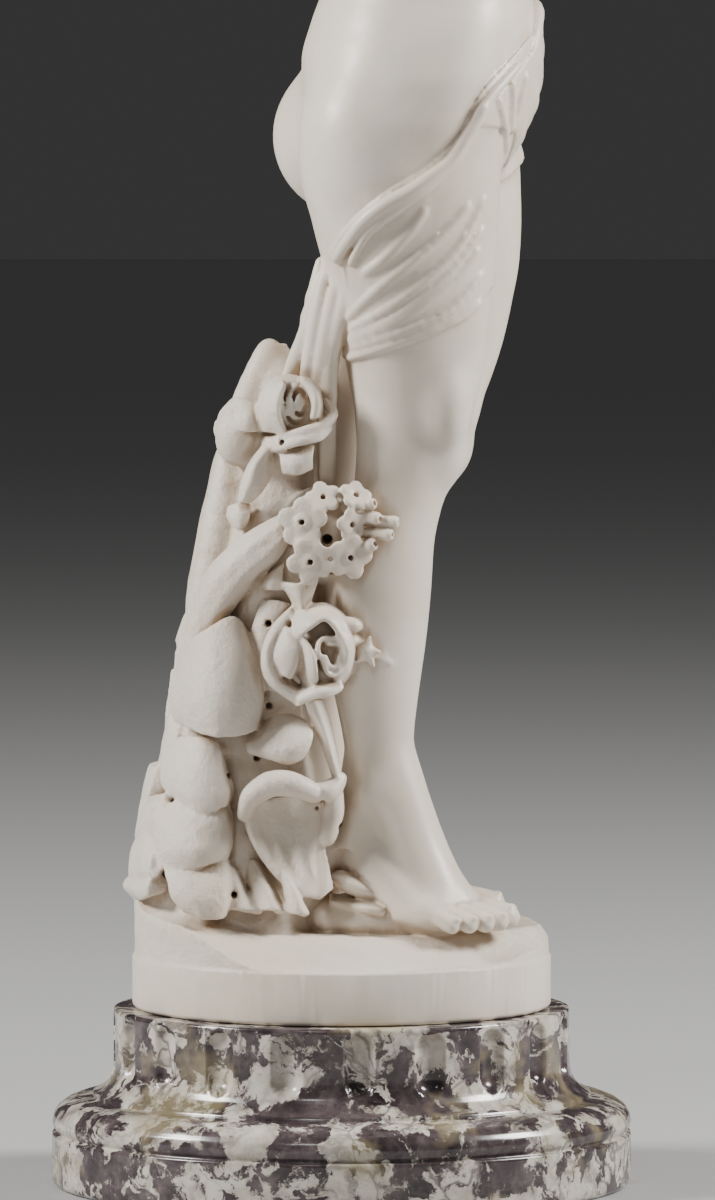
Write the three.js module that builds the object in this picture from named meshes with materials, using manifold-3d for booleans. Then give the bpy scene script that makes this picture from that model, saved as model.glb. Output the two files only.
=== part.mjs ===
// A carved white marble statue of a standing woman on a round base, over a fluted socle of violet breccia.
// Millimetres, +Z up. The figure faces +X and her right side is towards -Y. The origin is the centre of
// the socle's underside. The figure, the trunk she stands against, the roses, the cloth and the round base
// are one block; the socle is a second block.
import * as THREE from "three";
import { mergeVertices } from "three/addons/utils/BufferGeometryUtils.js";
import Module from "manifold-3d";

const wasm = await Module();
wasm.setup();

// ---------------------------------------------------------------- driving dimensions
const SOCLE_R = 145.5; // foot disc and torus
const SOCLE_NECK_R = 114.5;
const SOCLE_H = 89;
const FOOT_DISC_H = 26.5;
const TORUS_TOP = 44.5;
const FLUTES = 20;
const FLUTE_R = 8.5;
const SEAT_GAP = 0.3; // the base stands on the socle with this much clear
const BASE_R = 105;
const BASE_BAND_H = 26; // the smooth band below the carved ground
const SOLE = 132; // ground under the feet, above the underside of the socle

const V = (x, y, z) => new THREE.Vector3(x, y, z);
const degrees = THREE.MathUtils.degToRad;
const smooth = (t) => t * t * (3 - 2 * t);
const mix = (a, b, t) => a + (b - a) * t;

// ---------------------------------------------------------------- solids and their joins
const marble = new THREE.MeshStandardMaterial({ color: 0xe9e1d6, roughness: 0.45, metalness: 0 });
const breccia = new THREE.MeshStandardMaterial({ color: 0x8f8288, roughness: 0.2, metalness: 0 });

function solid(geometry) {
  const bare = geometry.index ? geometry.toNonIndexed() : geometry.clone();
  bare.deleteAttribute("normal");
  bare.deleteAttribute("uv");
  const merged = mergeVertices(bare, 1e-4);
  const vertProperties = new Float32Array(merged.attributes.position.array);
  const triVerts = new Uint32Array(merged.index.array);
  const made = new wasm.Manifold(new wasm.Mesh({ numProp: 3, vertProperties, triVerts }));
  if (made.volume() > 0) return made;
  for (let i = 0; i < triVerts.length; i += 3) {
    [triVerts[i + 1], triVerts[i + 2]] = [triVerts[i + 2], triVerts[i + 1]];
  }
  return new wasm.Manifold(new wasm.Mesh({ numProp: 3, vertProperties, triVerts }));
}

const fuse = (solids) => solids.reduce((all, next) => all.add(next));

// Keeps the outer skin, so that a pocket closed in between two overlapping forms is filled with stone.
function outerSkin(triangles, count) {
  const owner = Array.from({ length: count }, (_, i) => i);
  const find = (i) => {
    while (owner[i] !== i) i = owner[i] = owner[owner[i]];
    return i;
  };
  for (let i = 0; i < triangles.length; i += 3) {
    owner[find(triangles[i + 1])] = find(triangles[i]);
    owner[find(triangles[i + 2])] = find(triangles[i]);
  }
  const skins = new Map();
  for (let i = 0; i < triangles.length; i += 3) {
    const root = find(triangles[i]);
    if (!skins.has(root)) skins.set(root, []);
    skins.get(root).push([triangles[i], triangles[i + 1], triangles[i + 2]]);
  }
  return [...skins.values()].sort((a, b) => b.length - a.length)[0];
}

// Draws each corner into a neighbour where that moves no surface by more than `tolerance`, which takes out
// the slivers left along the seams. A corner stays where a face would turn over or two sheets would touch.
function thin(points, faces, tolerance) {
  const around = points.map(() => new Set());
  faces.forEach((face, f) => face.forEach((v) => around[v].add(f)));
  const planeOf = (face) => new THREE.Plane().setFromCoplanarPoints(...face.map((v) => points[v]));
  const height = ([a, b, c]) => {
    const sides = [[a, b], [b, c], [c, a]].map(([p, q]) => points[p].distanceTo(points[q]));
    return (2 * new THREE.Triangle(points[a], points[b], points[c]).getArea()) / Math.max(...sides, 1e-9);
  };
  const ringOf = (v) => new Set([...around[v]].flatMap((f) => faces[f]));
  const drawsIn = (from, to) => {
    const other = ringOf(to);
    const shared = [...ringOf(from)].filter((v) => v !== from && v !== to && other.has(v));
    if (shared.length !== 2) return false;
    return [...around[from]].every((f) => {
      const face = faces[f];
      if (height(face) < 1e-3 && face.includes(to)) return true;
      const plane = planeOf(face);
      const sliver = height(face) < 0.05;
      if (!sliver && Math.abs(plane.distanceToPoint(points[to])) > tolerance) return false;
      if (face.includes(to)) return true;
      const moved = face.map((v) => (v === from ? to : v));
      return height(moved) > 0.05 && (sliver || planeOf(moved).normal.dot(plane.normal) > 0.4);
    });
  };
  for (let pass = 0; pass < 8; pass++) {
    const edgesOf = ([a, b, c]) => [[a, b], [b, c], [c, a]];
    const edges = faces.filter((face) => face).flatMap(edgesOf);
    edges.sort(([a, b], [c, d]) => points[a].distanceTo(points[b]) - points[c].distanceTo(points[d]));
    let drawn = 0;
    for (const [from, to] of edges) {
      const joined = [...around[from]].some((f) => faces[f].includes(to));
      if (!joined || !drawsIn(from, to)) continue;
      for (const f of [...around[from]]) {
        if (faces[f].includes(to)) {
          faces[f].forEach((v) => around[v].delete(f));
          faces[f] = null;
        } else {
          faces[f] = faces[f].map((v) => (v === from ? to : v));
          around[to].add(f);
        }
      }
      around[from].clear();
      drawn++;
    }
    if (!drawn) break;
  }
  return faces.filter(Boolean);
}

function meshOf(made, name, material, tolerance) {
  const data = made.getMesh();
  const corners = new THREE.BufferAttribute(new Float32Array(data.vertProperties), 3);
  const cornerAt = (_, i) => V(0, 0, 0).fromBufferAttribute(corners, i);
  const points = Array.from({ length: corners.count }, cornerAt);
  const faces = thin(points, outerSkin(data.triVerts, data.numVert), tolerance);
  const geometry = mergeVertices(indexed(points, faces.flat()).toNonIndexed(), 0);
  geometry.computeVertexNormals();
  const mesh = new THREE.Mesh(geometry, material);
  mesh.name = name;
  return mesh;
}

function indexed(points, index) {
  const geometry = new THREE.BufferGeometry().setFromPoints(points);
  geometry.setIndex(index);
  return geometry;
}

// A closed skin over rings of points, each ring with the same count, and a fan over each end.
function loft(rings) {
  const n = rings[0].length;
  const points = rings.flat();
  const index = [];
  for (let r = 0; r + 1 < rings.length; r++) {
    for (let i = 0; i < n; i++) {
      const a = r * n + i;
      const b = r * n + ((i + 1) % n);
      index.push(a, b, b + n, a, b + n, a + n);
    }
  }
  for (const [ring, start, flip] of [[rings[0], 0, true], [rings.at(-1), (rings.length - 1) * n, false]]) {
    const middle = ring.reduce((sum, p) => sum.add(p), V(0, 0, 0)).divideScalar(n);
    const hub = points.push(middle) - 1;
    for (let i = 0; i < n; i++) {
      const [a, b] = [start + i, start + ((i + 1) % n)];
      index.push(...(flip ? [hub, b, a] : [hub, a, b]));
    }
  }
  return indexed(points, index);
}

const power = (value, exponent) => Math.sign(value) * Math.abs(value) ** exponent;

// One level section with its back (-X), front (+X), near (-Y) and far (+Y) edges.
function section([z, back, front, near, far], sides, roundness = 2) {
  const [cx, cy] = [(back + front) / 2, (near + far) / 2];
  return Array.from({ length: sides }, (_, i) => {
    const a = (2 * Math.PI * (i + 0.5)) / sides;
    const x = cx + ((front - back) / 2) * power(Math.cos(a), 2 / roundness);
    return V(x, cy + ((far - near) / 2) * power(Math.sin(a), 2 / roundness), z);
  });
}

// A stack of level sections, from the lowest row up.
const column = (rows, sides, roundness) => solid(loft(rows.map((row) => section(row, sides, roundness))));

// A tube along a smooth path. Each stop is [point, half width, half depth]; the depth lies along `up`.
function limb(stops, { up = V(0, 0, 1), sides = 8, steps = 6, rounded = true } = {}) {
  const curve = new THREE.CatmullRomCurve3(stops.map((stop) => stop[0]), false, "centripetal");
  const last = stops.length - 1;
  const radius = (t, k) => {
    const at = Math.min(Math.floor(t * last), last - 1);
    return mix(stops[at][k], stops[at + 1][k], smooth(t * last - at));
  };
  const ring = (t, shrink, push) => {
    const along = curve.getTangent(t);
    const side = V(0, 0, 0).crossVectors(along, up).normalize();
    const rise = V(0, 0, 0).crossVectors(side, along).normalize();
    const [wide, deep] = [radius(t, 1), radius(t, 2) ?? radius(t, 1)];
    const middle = curve.getPoint(t).addScaledVector(along, push * Math.min(wide, deep));
    return Array.from({ length: sides }, (_, i) => {
      const a = (2 * Math.PI * (i + 0.5)) / sides;
      return middle
        .clone()
        .addScaledVector(side, wide * shrink * Math.cos(a))
        .addScaledVector(rise, deep * shrink * Math.sin(a));
    });
  };
  const rings = Array.from({ length: steps + 1 }, (_, i) => ring(i / steps, 1, 0));
  if (rounded) {
    rings.unshift(ring(0, 0.6, -0.75));
    rings.push(ring(1, 0.6, 0.75));
  }
  return solid(loft(rings));
}

function blob(centre, [rx, ry, rz], { sides = 8, bands = 6, turn = [0, 0, 0] } = {}) {
  const ball = new THREE.SphereGeometry(1, sides, bands);
  ball.rotateX(Math.PI / 2);
  ball.scale(rx, ry, rz);
  ball.applyMatrix4(new THREE.Matrix4().makeRotationFromEuler(new THREE.Euler(...turn.map(degrees))));
  ball.translate(...centre);
  return solid(ball);
}

const rope = (stops, up) => limb(stops, { up, sides: 5, steps: 4, rounded: false });
const stalk = (from, to) => limb([from, to], { sides: 5, steps: 1, rounded: false });

// A curved plate over shape(u, v), with u and v from 0 to 1. It stands `out` in front of the shape along
// its normal and reaches `back` behind it.
function plate(shape, { out = 1.2, back = 1.2, across = 3, along = 3 } = {}) {
  const normalAt = (u, v) => {
    const d = 0.02;
    const du = shape(Math.min(u + d, 1), v).sub(shape(Math.max(u - d, 0), v));
    const dv = shape(u, Math.min(v + d, 1)).sub(shape(u, Math.max(v - d, 0)));
    return du.cross(dv).normalize();
  };
  const points = [];
  for (const offset of [out, -back]) {
    for (let i = 0; i <= across; i++) {
      for (let j = 0; j <= along; j++) {
        const [u, v] = [i / across, j / along];
        points.push(shape(u, v).addScaledVector(normalAt(u, v), offset));
      }
    }
  }
  const half = (across + 1) * (along + 1);
  const at = (i, j) => i * (along + 1) + j;
  const index = [];
  const quad = (a, b, c, d) => index.push(a, b, c, a, c, d);
  for (let i = 0; i < across; i++) {
    for (let j = 0; j < along; j++) {
      quad(at(i, j), at(i + 1, j), at(i + 1, j + 1), at(i, j + 1));
      quad(half + at(i, j), half + at(i, j + 1), half + at(i + 1, j + 1), half + at(i + 1, j));
    }
    quad(at(i + 1, 0), at(i, 0), half + at(i, 0), half + at(i + 1, 0));
    quad(at(i, along), at(i + 1, along), half + at(i + 1, along), half + at(i, along));
  }
  for (let j = 0; j < along; j++) {
    quad(at(0, j), at(0, j + 1), half + at(0, j + 1), half + at(0, j));
    quad(at(across, j + 1), at(across, j), half + at(across, j), half + at(across, j + 1));
  }
  return solid(indexed(points, index));
}

// ---------------------------------------------------------------- socle
function socle() {
  const outline = [
    [0, 0],
    [SOCLE_R - 4, 0],
    [SOCLE_R, 4],
    [SOCLE_R, FOOT_DISC_H],
    [SOCLE_R - 2.5, FOOT_DISC_H + 0.8],
    [SOCLE_R - 0.5, FOOT_DISC_H + 5],
    [SOCLE_R - 3, FOOT_DISC_H + 11],
    [SOCLE_R - 9, FOOT_DISC_H + 15],
    [SOCLE_R - 20.5, TORUS_TOP],
    [SOCLE_R - 20.5, TORUS_TOP + 2],
    [SOCLE_NECK_R + 4, TORUS_TOP + 5],
    [SOCLE_NECK_R, TORUS_TOP + 13],
    [SOCLE_NECK_R, SOCLE_H - 1.5],
    [SOCLE_NECK_R - 1.5, SOCLE_H],
    [0, SOCLE_H],
  ].map(([r, z]) => new THREE.Vector2(r, z));
  const turned = new THREE.LatheGeometry(outline, 2 * FLUTES);
  turned.rotateX(Math.PI / 2);
  let body = solid(turned);
  const foot = TORUS_TOP + 10 + FLUTE_R;
  const head = SOCLE_H - 2.5 - FLUTE_R;
  const gouge = new THREE.CapsuleGeometry(FLUTE_R, head - foot, 2, 6);
  gouge.rotateX(Math.PI / 2);
  gouge.scale(0.75, 1, 1);
  gouge.translate(SOCLE_NECK_R + 1, 0, (head + foot) / 2);
  for (let i = 0; i < FLUTES; i++) {
    const cutter = gouge.clone();
    cutter.rotateZ((2 * Math.PI * (i + 0.25)) / FLUTES);
    body = body.subtract(solid(cutter));
  }
  return body;
}

// ---------------------------------------------------------------- round base and its carved ground
// The ground is level under the feet, falls to the rim in front and stands high under the trunk.
function groundAt(x, y) {
  const r = Math.hypot(x, y) / BASE_R;
  const rim = SOLE - 15 * smooth(Math.min(Math.max((r - 0.74) / 0.26, 0), 1));
  const back = smooth(Math.min(Math.max((-x - 30) / 55, 0), 1));
  const ripple = 1.6 * Math.sin(x * 0.11 + 1) * Math.cos(y * 0.13);
  return rim + back * 20 + ripple;
}

function roundBase() {
  const [foot, band] = [SOCLE_H + SEAT_GAP, SOCLE_H + SEAT_GAP + BASE_BAND_H];
  const sides = 28;
  const circle = (r, height) =>
    Array.from({ length: sides }, (_, i) => {
      const a = (2 * Math.PI * i) / sides;
      const [x, y] = [r * Math.cos(a), r * Math.sin(a)];
      return V(x, y, typeof height === "number" ? height : height(x, y));
    });
  return solid(
    loft([
      circle(BASE_R - 3, foot),
      circle(BASE_R, foot + 3),
      circle(BASE_R, band),
      circle(BASE_R - 1, (x, y) => mix(band, groundAt(x, y), 0.75)),
      circle(BASE_R * 0.88, groundAt),
      circle(BASE_R * 0.45, groundAt),
    ]),
  );
}

// ---------------------------------------------------------------- the figure
// Rows of a column: height above the sole, then the back, front, near and far edges of the section.
const up = (rows) => rows.map(([h, ...edges]) => [SOLE + h, ...edges]);

const NEAR_LEG = up([
  [46, -6, 40, -50, -22],
  [66, 0.5, 37, -50.5, -22],
  [80, 2.5, 35.5, -50, -22.5],
  [96, 0.5, 36, -52, -20],
  [118, -4, 38.5, -56, -15],
  [143, -8.5, 42, -60, -11],
  [191, -3, 46, -59.5, -11.5],
  [223, 6.5, 55, -57, -12],
  [240, 7.5, 61, -58, -11],
  [256, 6.5, 65, -60, -9.5],
  [291, 0, 72, -66.5, -6],
  [311, -5, 74, -70, -4],
  [331, -9.5, 75, -73, -2],
  [351, -14.5, 76.5, -76, 0],
  [373, -17.5, 77.5, -78.5, 1],
  [398, -14, 76, -79, 0],
  [428, -3, 68, -74, -12],
]);

const FAR_LEG = up([
  [24, -20, 12, 13, 36],
  [53, -10, 23, 9.5, 38.5],
  [73, -8.5, 23.5, 10, 37.5],
  [96, -9.5, 27, 7, 41.5],
  [118, -12, 31.5, 3.5, 46.5],
  [143, -13, 37, 1, 50.5],
  [191, -3, 46, 1.5, 50],
  [223, 9, 58, 1, 49],
  [240, 12, 64.5, 0, 50.5],
  [256, 12.5, 69, -1, 53],
  [291, 11, 81.5, -1, 62],
  [331, 5, 89.5, 0, 72],
  [373, -8, 90, 0, 78.5],
  [398, -10, 88, 4, 79],
  [428, 0, 82, 12, 75],
]);

const TORSO = up([
  [350, 22, 50, -34, 34],
  [366, 2, 72, -58, 58],
  [382, -14, 83, -72, 72],
  [400, -23, 89, -79, 79],
  [431, -22, 94.5, -75, 75.5],
  [461, -11.5, 94.5, -65, 66.5],
  [478, -4.5, 91, -61, 62],
  [495, -1, 87, -59, 59.5],
  [530, -4, 84.5, -63, 63.5],
  [570, -12, 82.5, -72, 72],
  [590, -14, 78, -76, 76],
  [611, -12, 71, -74, 74],
  [626, -6, 62, -60, 60],
  [641, 12, 54, -30, 30],
]);

const HEAD_AT = V(56, -4, 849);
const HEAD_TURN = new THREE.Euler(0, degrees(12), degrees(-18), "ZYX");
const onHead = (x, y, z) => V(x, y, z).applyEuler(HEAD_TURN).add(HEAD_AT);

// Rows of the head, in its own frame: height, back, front and half width.
const HEAD_ROWS = [
  [-50, 14, 35, 8],
  [-45, 4, 41, 16],
  [-36, -12, 42, 24],
  [-24, -26, 41, 29.5],
  [-10, -37, 40.5, 33],
  [4, -44, 40.5, 35],
  [18, -47, 41, 35.5],
  [32, -42, 35, 31.5],
  [42, -30, 24, 24],
  [49, -14, 9, 12],
];

function head() {
  const rings = HEAD_ROWS.map(([z, back, front, half]) =>
    section([z, back, front, -half, half], 10).map((p) => onHead(p.x, p.y, p.z)),
  );
  const turn = [0, 12, -18];
  const bump = (x, y, z, radii) => blob(onHead(x, y, z), radii, { sides: 5, bands: 4, turn });
  const nose = limb([
    [onHead(39, 0, 12), 4, 4],
    [onHead(42, 0, 1), 4, 4],
    [onHead(43.5, 0, -9), 5.5, 5],
  ], { up: onHead(1, 0, 0).sub(HEAD_AT), sides: 5, steps: 2, rounded: false });
  const parts = [
    solid(loft(rings)),
    nose,
    bump(39, 0, -24.5, [4.8, 9, 4.2]),
    bump(36, 0, -41, [7.5, 10, 8]),
    bump(-4, 36, -4, [6, 4, 10]),
    bump(-4, -36, -4, [6, 4, 10]),
  ];
  for (const side of [-1, 1]) {
    parts.push(bump(34, side * 14, 3, [5.5, 7.5, 4.5]));
  }
  return parts;
}

// Wavy hair parted in the middle, drawn back over the ears into a knot at the nape.
function hair() {
  const parts = [
    blob(onHead(-8, 0, 9), [45, 40, 46], { sides: 10, bands: 7, turn: [0, 12, -18] }),
    blob(onHead(-54, 0, -10), [19, 21, 20], { sides: 7, bands: 5, turn: [0, 12, -18] }),
  ];
  for (const side of [-1, 1]) {
    parts.push(
      limb([
        [onHead(30, side * 2, 37), 7, 6],
        [onHead(26, side * 21, 26), 9, 7],
        [onHead(8, side * 33, 9), 11, 8],
        [onHead(-14, side * 34, -5), 11, 8],
        [onHead(-44, side * 15, -12), 9, 8],
      ], { sides: 6, steps: 4 }),
    );
  }
  return parts;
}

// Four fingers and a thumb on a palm. `along` runs to the fingertips and `out` leaves the back of the hand.
function hand(wrist, along, out, { curl = 0.3, spread = 1, thumbSide = 1 } = {}) {
  const a = along.clone().normalize();
  const o = out.clone().addScaledVector(a, -out.dot(a)).normalize();
  const side = V(0, 0, 0).crossVectors(a, o).multiplyScalar(thumbSide);
  const at = (f, s, h) =>
    wrist.clone().addScaledVector(a, f).addScaledVector(side, s).addScaledVector(o, h);
  const parts = [
    limb([
      [at(-4, 0, 0), 11, 8],
      [at(14, 0, 0.5), 16, 7.5],
      [at(38, -1, 0), 18, 6.5],
    ], { up: o, sides: 6, steps: 2, rounded: false }),
  ];
  const fingers = [[12, 33], [4, 37], [-4.5, 35], [-12.5, 28]];
  for (const [s, length] of fingers) {
    const fan = s * spread;
    parts.push(
      limb([
        [at(36, s, 0), 4.6, 4.6],
        [at(38 + length * 0.5, s + fan * 0.12, -length * curl * 0.35), 4.2, 4.2],
        [at(38 + length * 0.9, s + fan * 0.2, -length * curl), 3.4, 3.4],
      ], { up: o, sides: 4, steps: 2, rounded: false }),
    );
  }
  parts.push(
    limb([
      [at(8, 12, -2), 6, 6],
      [at(24, 23, -4), 5.2, 5.2],
      [at(42, 26, -6), 4, 4],
    ], { up: o, sides: 4, steps: 2, rounded: false }),
  );
  return parts;
}

const NEAR_ARM = { shoulder: V(29, -73, 738), elbow: V(88, -92, 642), wrist: V(90, -26, 712) };
const FAR_ARM = { shoulder: V(28, 73, 738), elbow: V(-6, 104, 617), wrist: V(56, 84, 586) };

function arm({ shoulder, elbow, wrist }) {
  const between = (a, b, t) => a.clone().lerp(b, t);
  return [
    limb([
      [shoulder, 23, 23],
      [between(shoulder, elbow, 0.3), 23, 22],
      [between(shoulder, elbow, 0.7), 19.5, 20],
      [elbow, 17, 17],
    ], { up: V(1, 0, 0), sides: 7, steps: 3, rounded: false }),
    limb([
      [elbow, 17, 17],
      [between(elbow, wrist, 0.3), 18.5, 17.5],
      [between(elbow, wrist, 0.7), 14, 13],
      [wrist, 11, 9],
    ], { up: V(0, 0, 1), sides: 7, steps: 3 }),
  ];
}

// A foot from heel to toes. `ankle` is the ankle's centre, `turnOut` its heading below +X in degrees,
// `lift` how far the heel stands off the ground, and `outer` is -1 where the little toe is on the near
// side.
function foot({ ankle, turnOut, lift, outer, length }) {
  const heading = V(Math.cos(degrees(turnOut)), -Math.sin(degrees(turnOut)), 0);
  const lateral = V(-heading.y, heading.x, 0).multiplyScalar(outer);
  const at = (f, s, h) =>
    V(ankle.x, ankle.y, SOLE + h).addScaledVector(heading, f * length).addScaledVector(lateral, s);
  const sole = (f) => lift * smooth(Math.min(Math.max((0.42 - f) / 0.62, 0), 1));
  const parts = [
    limb([
      [at(-0.14, 0, 14 + sole(-0.14)), 13, 13],
      [at(0.02, 1, 20 + sole(0)), 15, 16],
      [at(0.25, 0, 21 + sole(0.25)), 16.5, 15.5],
      [at(0.45, -1, 12.5 + sole(0.45)), 19, 10.5],
      [at(0.58, -1, 8), 19.5, 7],
    ], { sides: 7, steps: 3 }),
    limb([
      [at(0.0, -1, 46 + lift), 14, 13],
      [at(0.16, -3, 34 + lift * 0.85), 12.5, 12],
      [at(0.4, -4, 17 + lift * 0.3), 13, 9],
    ], { up: heading, sides: 6, steps: 1 }),
  ];
  const toes = [[-13.5, 0.85, 6.4], [-4.5, 0.84, 4.8], [3.2, 0.79, 4.5], [10.5, 0.73, 4.2], [17, 0.66, 4]];
  for (const [s, reach, r] of toes) {
    parts.push(
      limb([
        [at(reach - 0.3, s * 0.95, r + 3.5), r, r],
        [at(reach - 0.13, s, r + 3), r, r],
        [at(reach + 0.03, s * 1.03, r - 1), r * 0.8, r * 0.75],
      ], { sides: 4, steps: 2, rounded: false }),
    );
  }
  return parts;
}

function figure() {
  return [
    column(NEAR_LEG, 12, 2.1),
    column(FAR_LEG, 10, 2.1),
    column(TORSO, 14, 2.25),
    blob([13, -39, 524], [35, 38, 40], { sides: 10, bands: 7 }),
    blob([6, 38, 526], [40, 38, 40], { sides: 10, bands: 7 }),
    blob([78, -33, 700], [24, 27, 26], { sides: 9, bands: 6 }),
    blob([78, 33, 700], [24, 27, 26], { sides: 9, bands: 6 }),
    limb([
      [V(27, 0, 752), 31, 30],
      [V(33, -1, 779), 24, 25],
      [V(42, -3, 812), 22.5, 23.5],
    ], { up: V(1, 0, 0), sides: 8, steps: 2 }),
    ...[-1, 1].map((side) =>
      limb([
        [V(27, side * 22, 766), 15, 19],
        [V(28, side * 72, 742), 20, 23],
      ], { up: V(1, 0, 0), sides: 6, steps: 1 }),
    ),
    ...arm(NEAR_ARM),
    ...arm(FAR_ARM),
    ...hand(NEAR_ARM.wrist, V(-12, 42, 30), V(1, 0.3, 0.1), { curl: 0.22, thumbSide: 1 }),
    ...hand(FAR_ARM.wrist, V(28, -38, -6), V(0.7, 0.6, 0.3), { curl: 0.35, thumbSide: -1 }),
    ...foot({ ankle: V(19, -36, 0), turnOut: 27, lift: 24, outer: -1, length: 77 }),
    ...foot({ ankle: V(5, 24, 0), turnOut: -6, lift: 0, outer: 1, length: 84 }),
    ...head(),
    ...hair(),
  ];
}

// ---------------------------------------------------------------- trunk and its scales
// The stone left between the trunk and the calves, and the rock under the raised heel.
const WEB = [
  [SOLE - 6, -40, 10, -30, 30],
  [SOLE + 60, -40, 8, -28, 26],
  [SOLE + 130, -40, 6, -24, 24],
  [SOLE + 220, -34, 14, -22, 22],
  [SOLE + 270, -26, 16, -18, 20],
  [SOLE + 318, -6, 20, -12, 14],
];
const HEEL_ROCK = { centre: [18, -40, SOLE + 4], radii: [36, 20, 17] };

const TRUNK = [
  [SOLE - 6, -102, 0, -66, 62],
  [SOLE + 24, -101, -4, -64, 60],
  [SOLE + 60, -90, -10, -60, 54],
  [SOLE + 105, -82, -18, -53, 48],
  [SOLE + 140, -80, -20, -48, 46],
  [SOLE + 165, -77, -18, -44, 44],
  [SOLE + 215, -67, -12, -36, 42],
  [SOLE + 245, -58, -10, -30, 38],
  [SOLE + 270, -48, -14, -20, 28],
  [SOLE + 288, -41, -30, -9, 8],
];

// A thick leaf base lying on the trunk: its top edge is buried and its rounded lower edge stands proud.
// `face` is the heading it faces, in degrees from +X; `middle` is the centre of its lower edge.
function scale({ middle, face, wide, tall, lean = 0.2, thick = 4 }) {
  const out = V(Math.cos(degrees(face)), Math.sin(degrees(face)), 0);
  const side = V(-out.y, out.x, 0);
  return plate((u, v) => {
    const s = 2 * u - 1;
    const half = (wide / 2) * (1.02 - 0.22 * v * v);
    const drop = tall * v * (1 - 0.28 * s ** 4 - 0.1 * s * s);
    return V(...middle)
      .addScaledVector(side, s * half)
      .addScaledVector(out, -lean * tall * (1 - v) - 0.22 * wide * s * s)
      .add(V(0, 0, tall - drop));
  }, { out: thick, back: 9, across: 4, along: 2 });
}

const SCALES = [
  { middle: [-62, -58, 228], face: -104, wide: 46, tall: 56, lean: 0.16, thick: 5 },
  { middle: [-72, -60, 161], face: -112, wide: 40, tall: 62, lean: 0.1, thick: 5 },
  { middle: [-80, -46, 198], face: -132, wide: 30, tall: 34, lean: 0.25 },
  { middle: [-94, -30, 170], face: -155, wide: 34, tall: 40, lean: 0.25, thick: 3 },
  { middle: [-99, -22, 143], face: -160, wide: 36, tall: 34, lean: 0.12, thick: 2 },
  { middle: [-72, -66, 137], face: -112, wide: 34, tall: 28, lean: 0.1 },
  { middle: [-82, -2, 205], face: 180, wide: 38, tall: 40, lean: 0.2, thick: 2 },
  { middle: [-94, 14, 168], face: 168, wide: 40, tall: 42, lean: 0.2, thick: 2 },
  { middle: [-72, 44, 210], face: 128, wide: 40, tall: 46, lean: 0.2 },
  { middle: [-78, 50, 160], face: 132, wide: 44, tall: 48, lean: 0.15 },
];

// ---------------------------------------------------------------- cloth
// The outer skin of a column at a height and an angle from +X, grown by `proud`.
function skin(rows, z, angle, proud, roundness = 2.1) {
  let k = 0;
  while (k + 2 < rows.length && rows[k + 1][0] < z) k++;
  const t = (z - rows[k][0]) / (rows[k + 1][0] - rows[k][0]);
  const [back, front, near, far] = [1, 2, 3, 4].map((edge) => mix(rows[k][edge], rows[k + 1][edge], t));
  const [c, s] = [Math.cos(degrees(angle)), Math.sin(degrees(angle))];
  return V(
    (back + front) / 2 + ((front - back) / 2 + proud) * power(c, 2 / roundness),
    (near + far) / 2 + ((far - near) / 2 + proud) * power(s, 2 / roundness),
    z,
  );
}

// The line of the cloth's rolled edge, as [column, height, heading from +X]: from behind the near thigh, up
// round its side, over the front of the belly and on to the far hip.
const EDGE = [
  [NEAR_LEG, 452, -178],
  [NEAR_LEG, 464, -148],
  [NEAR_LEG, 483, -127],
  [NEAR_LEG, 507, -97],
  [NEAR_LEG, 524, -66],
  [NEAR_LEG, 543, -47],
  [TORSO, 562, -36],
  [TORSO, 578, -17],
  [TORSO, 588, 2],
  [TORSO, 592, 30],
  [TORSO, 588, 62],
];
const HEM = [[-178, 418], [-133, 422], [-87, 431], [-63, 437], [-44, 443], [-20, 449], [12, 456]];

// Reads a list of [place, value] pairs, in rising places, by straight lines between them.
function along(pairs, place) {
  const k = Math.max(1, Math.min(pairs.findIndex(([at]) => at >= place), pairs.length - 1));
  const [[a, from], [b, to]] = [pairs[k - 1], pairs[k]];
  return mix(from, to, Math.min(Math.max((place - a) / (b - a), 0), 1));
}

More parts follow.
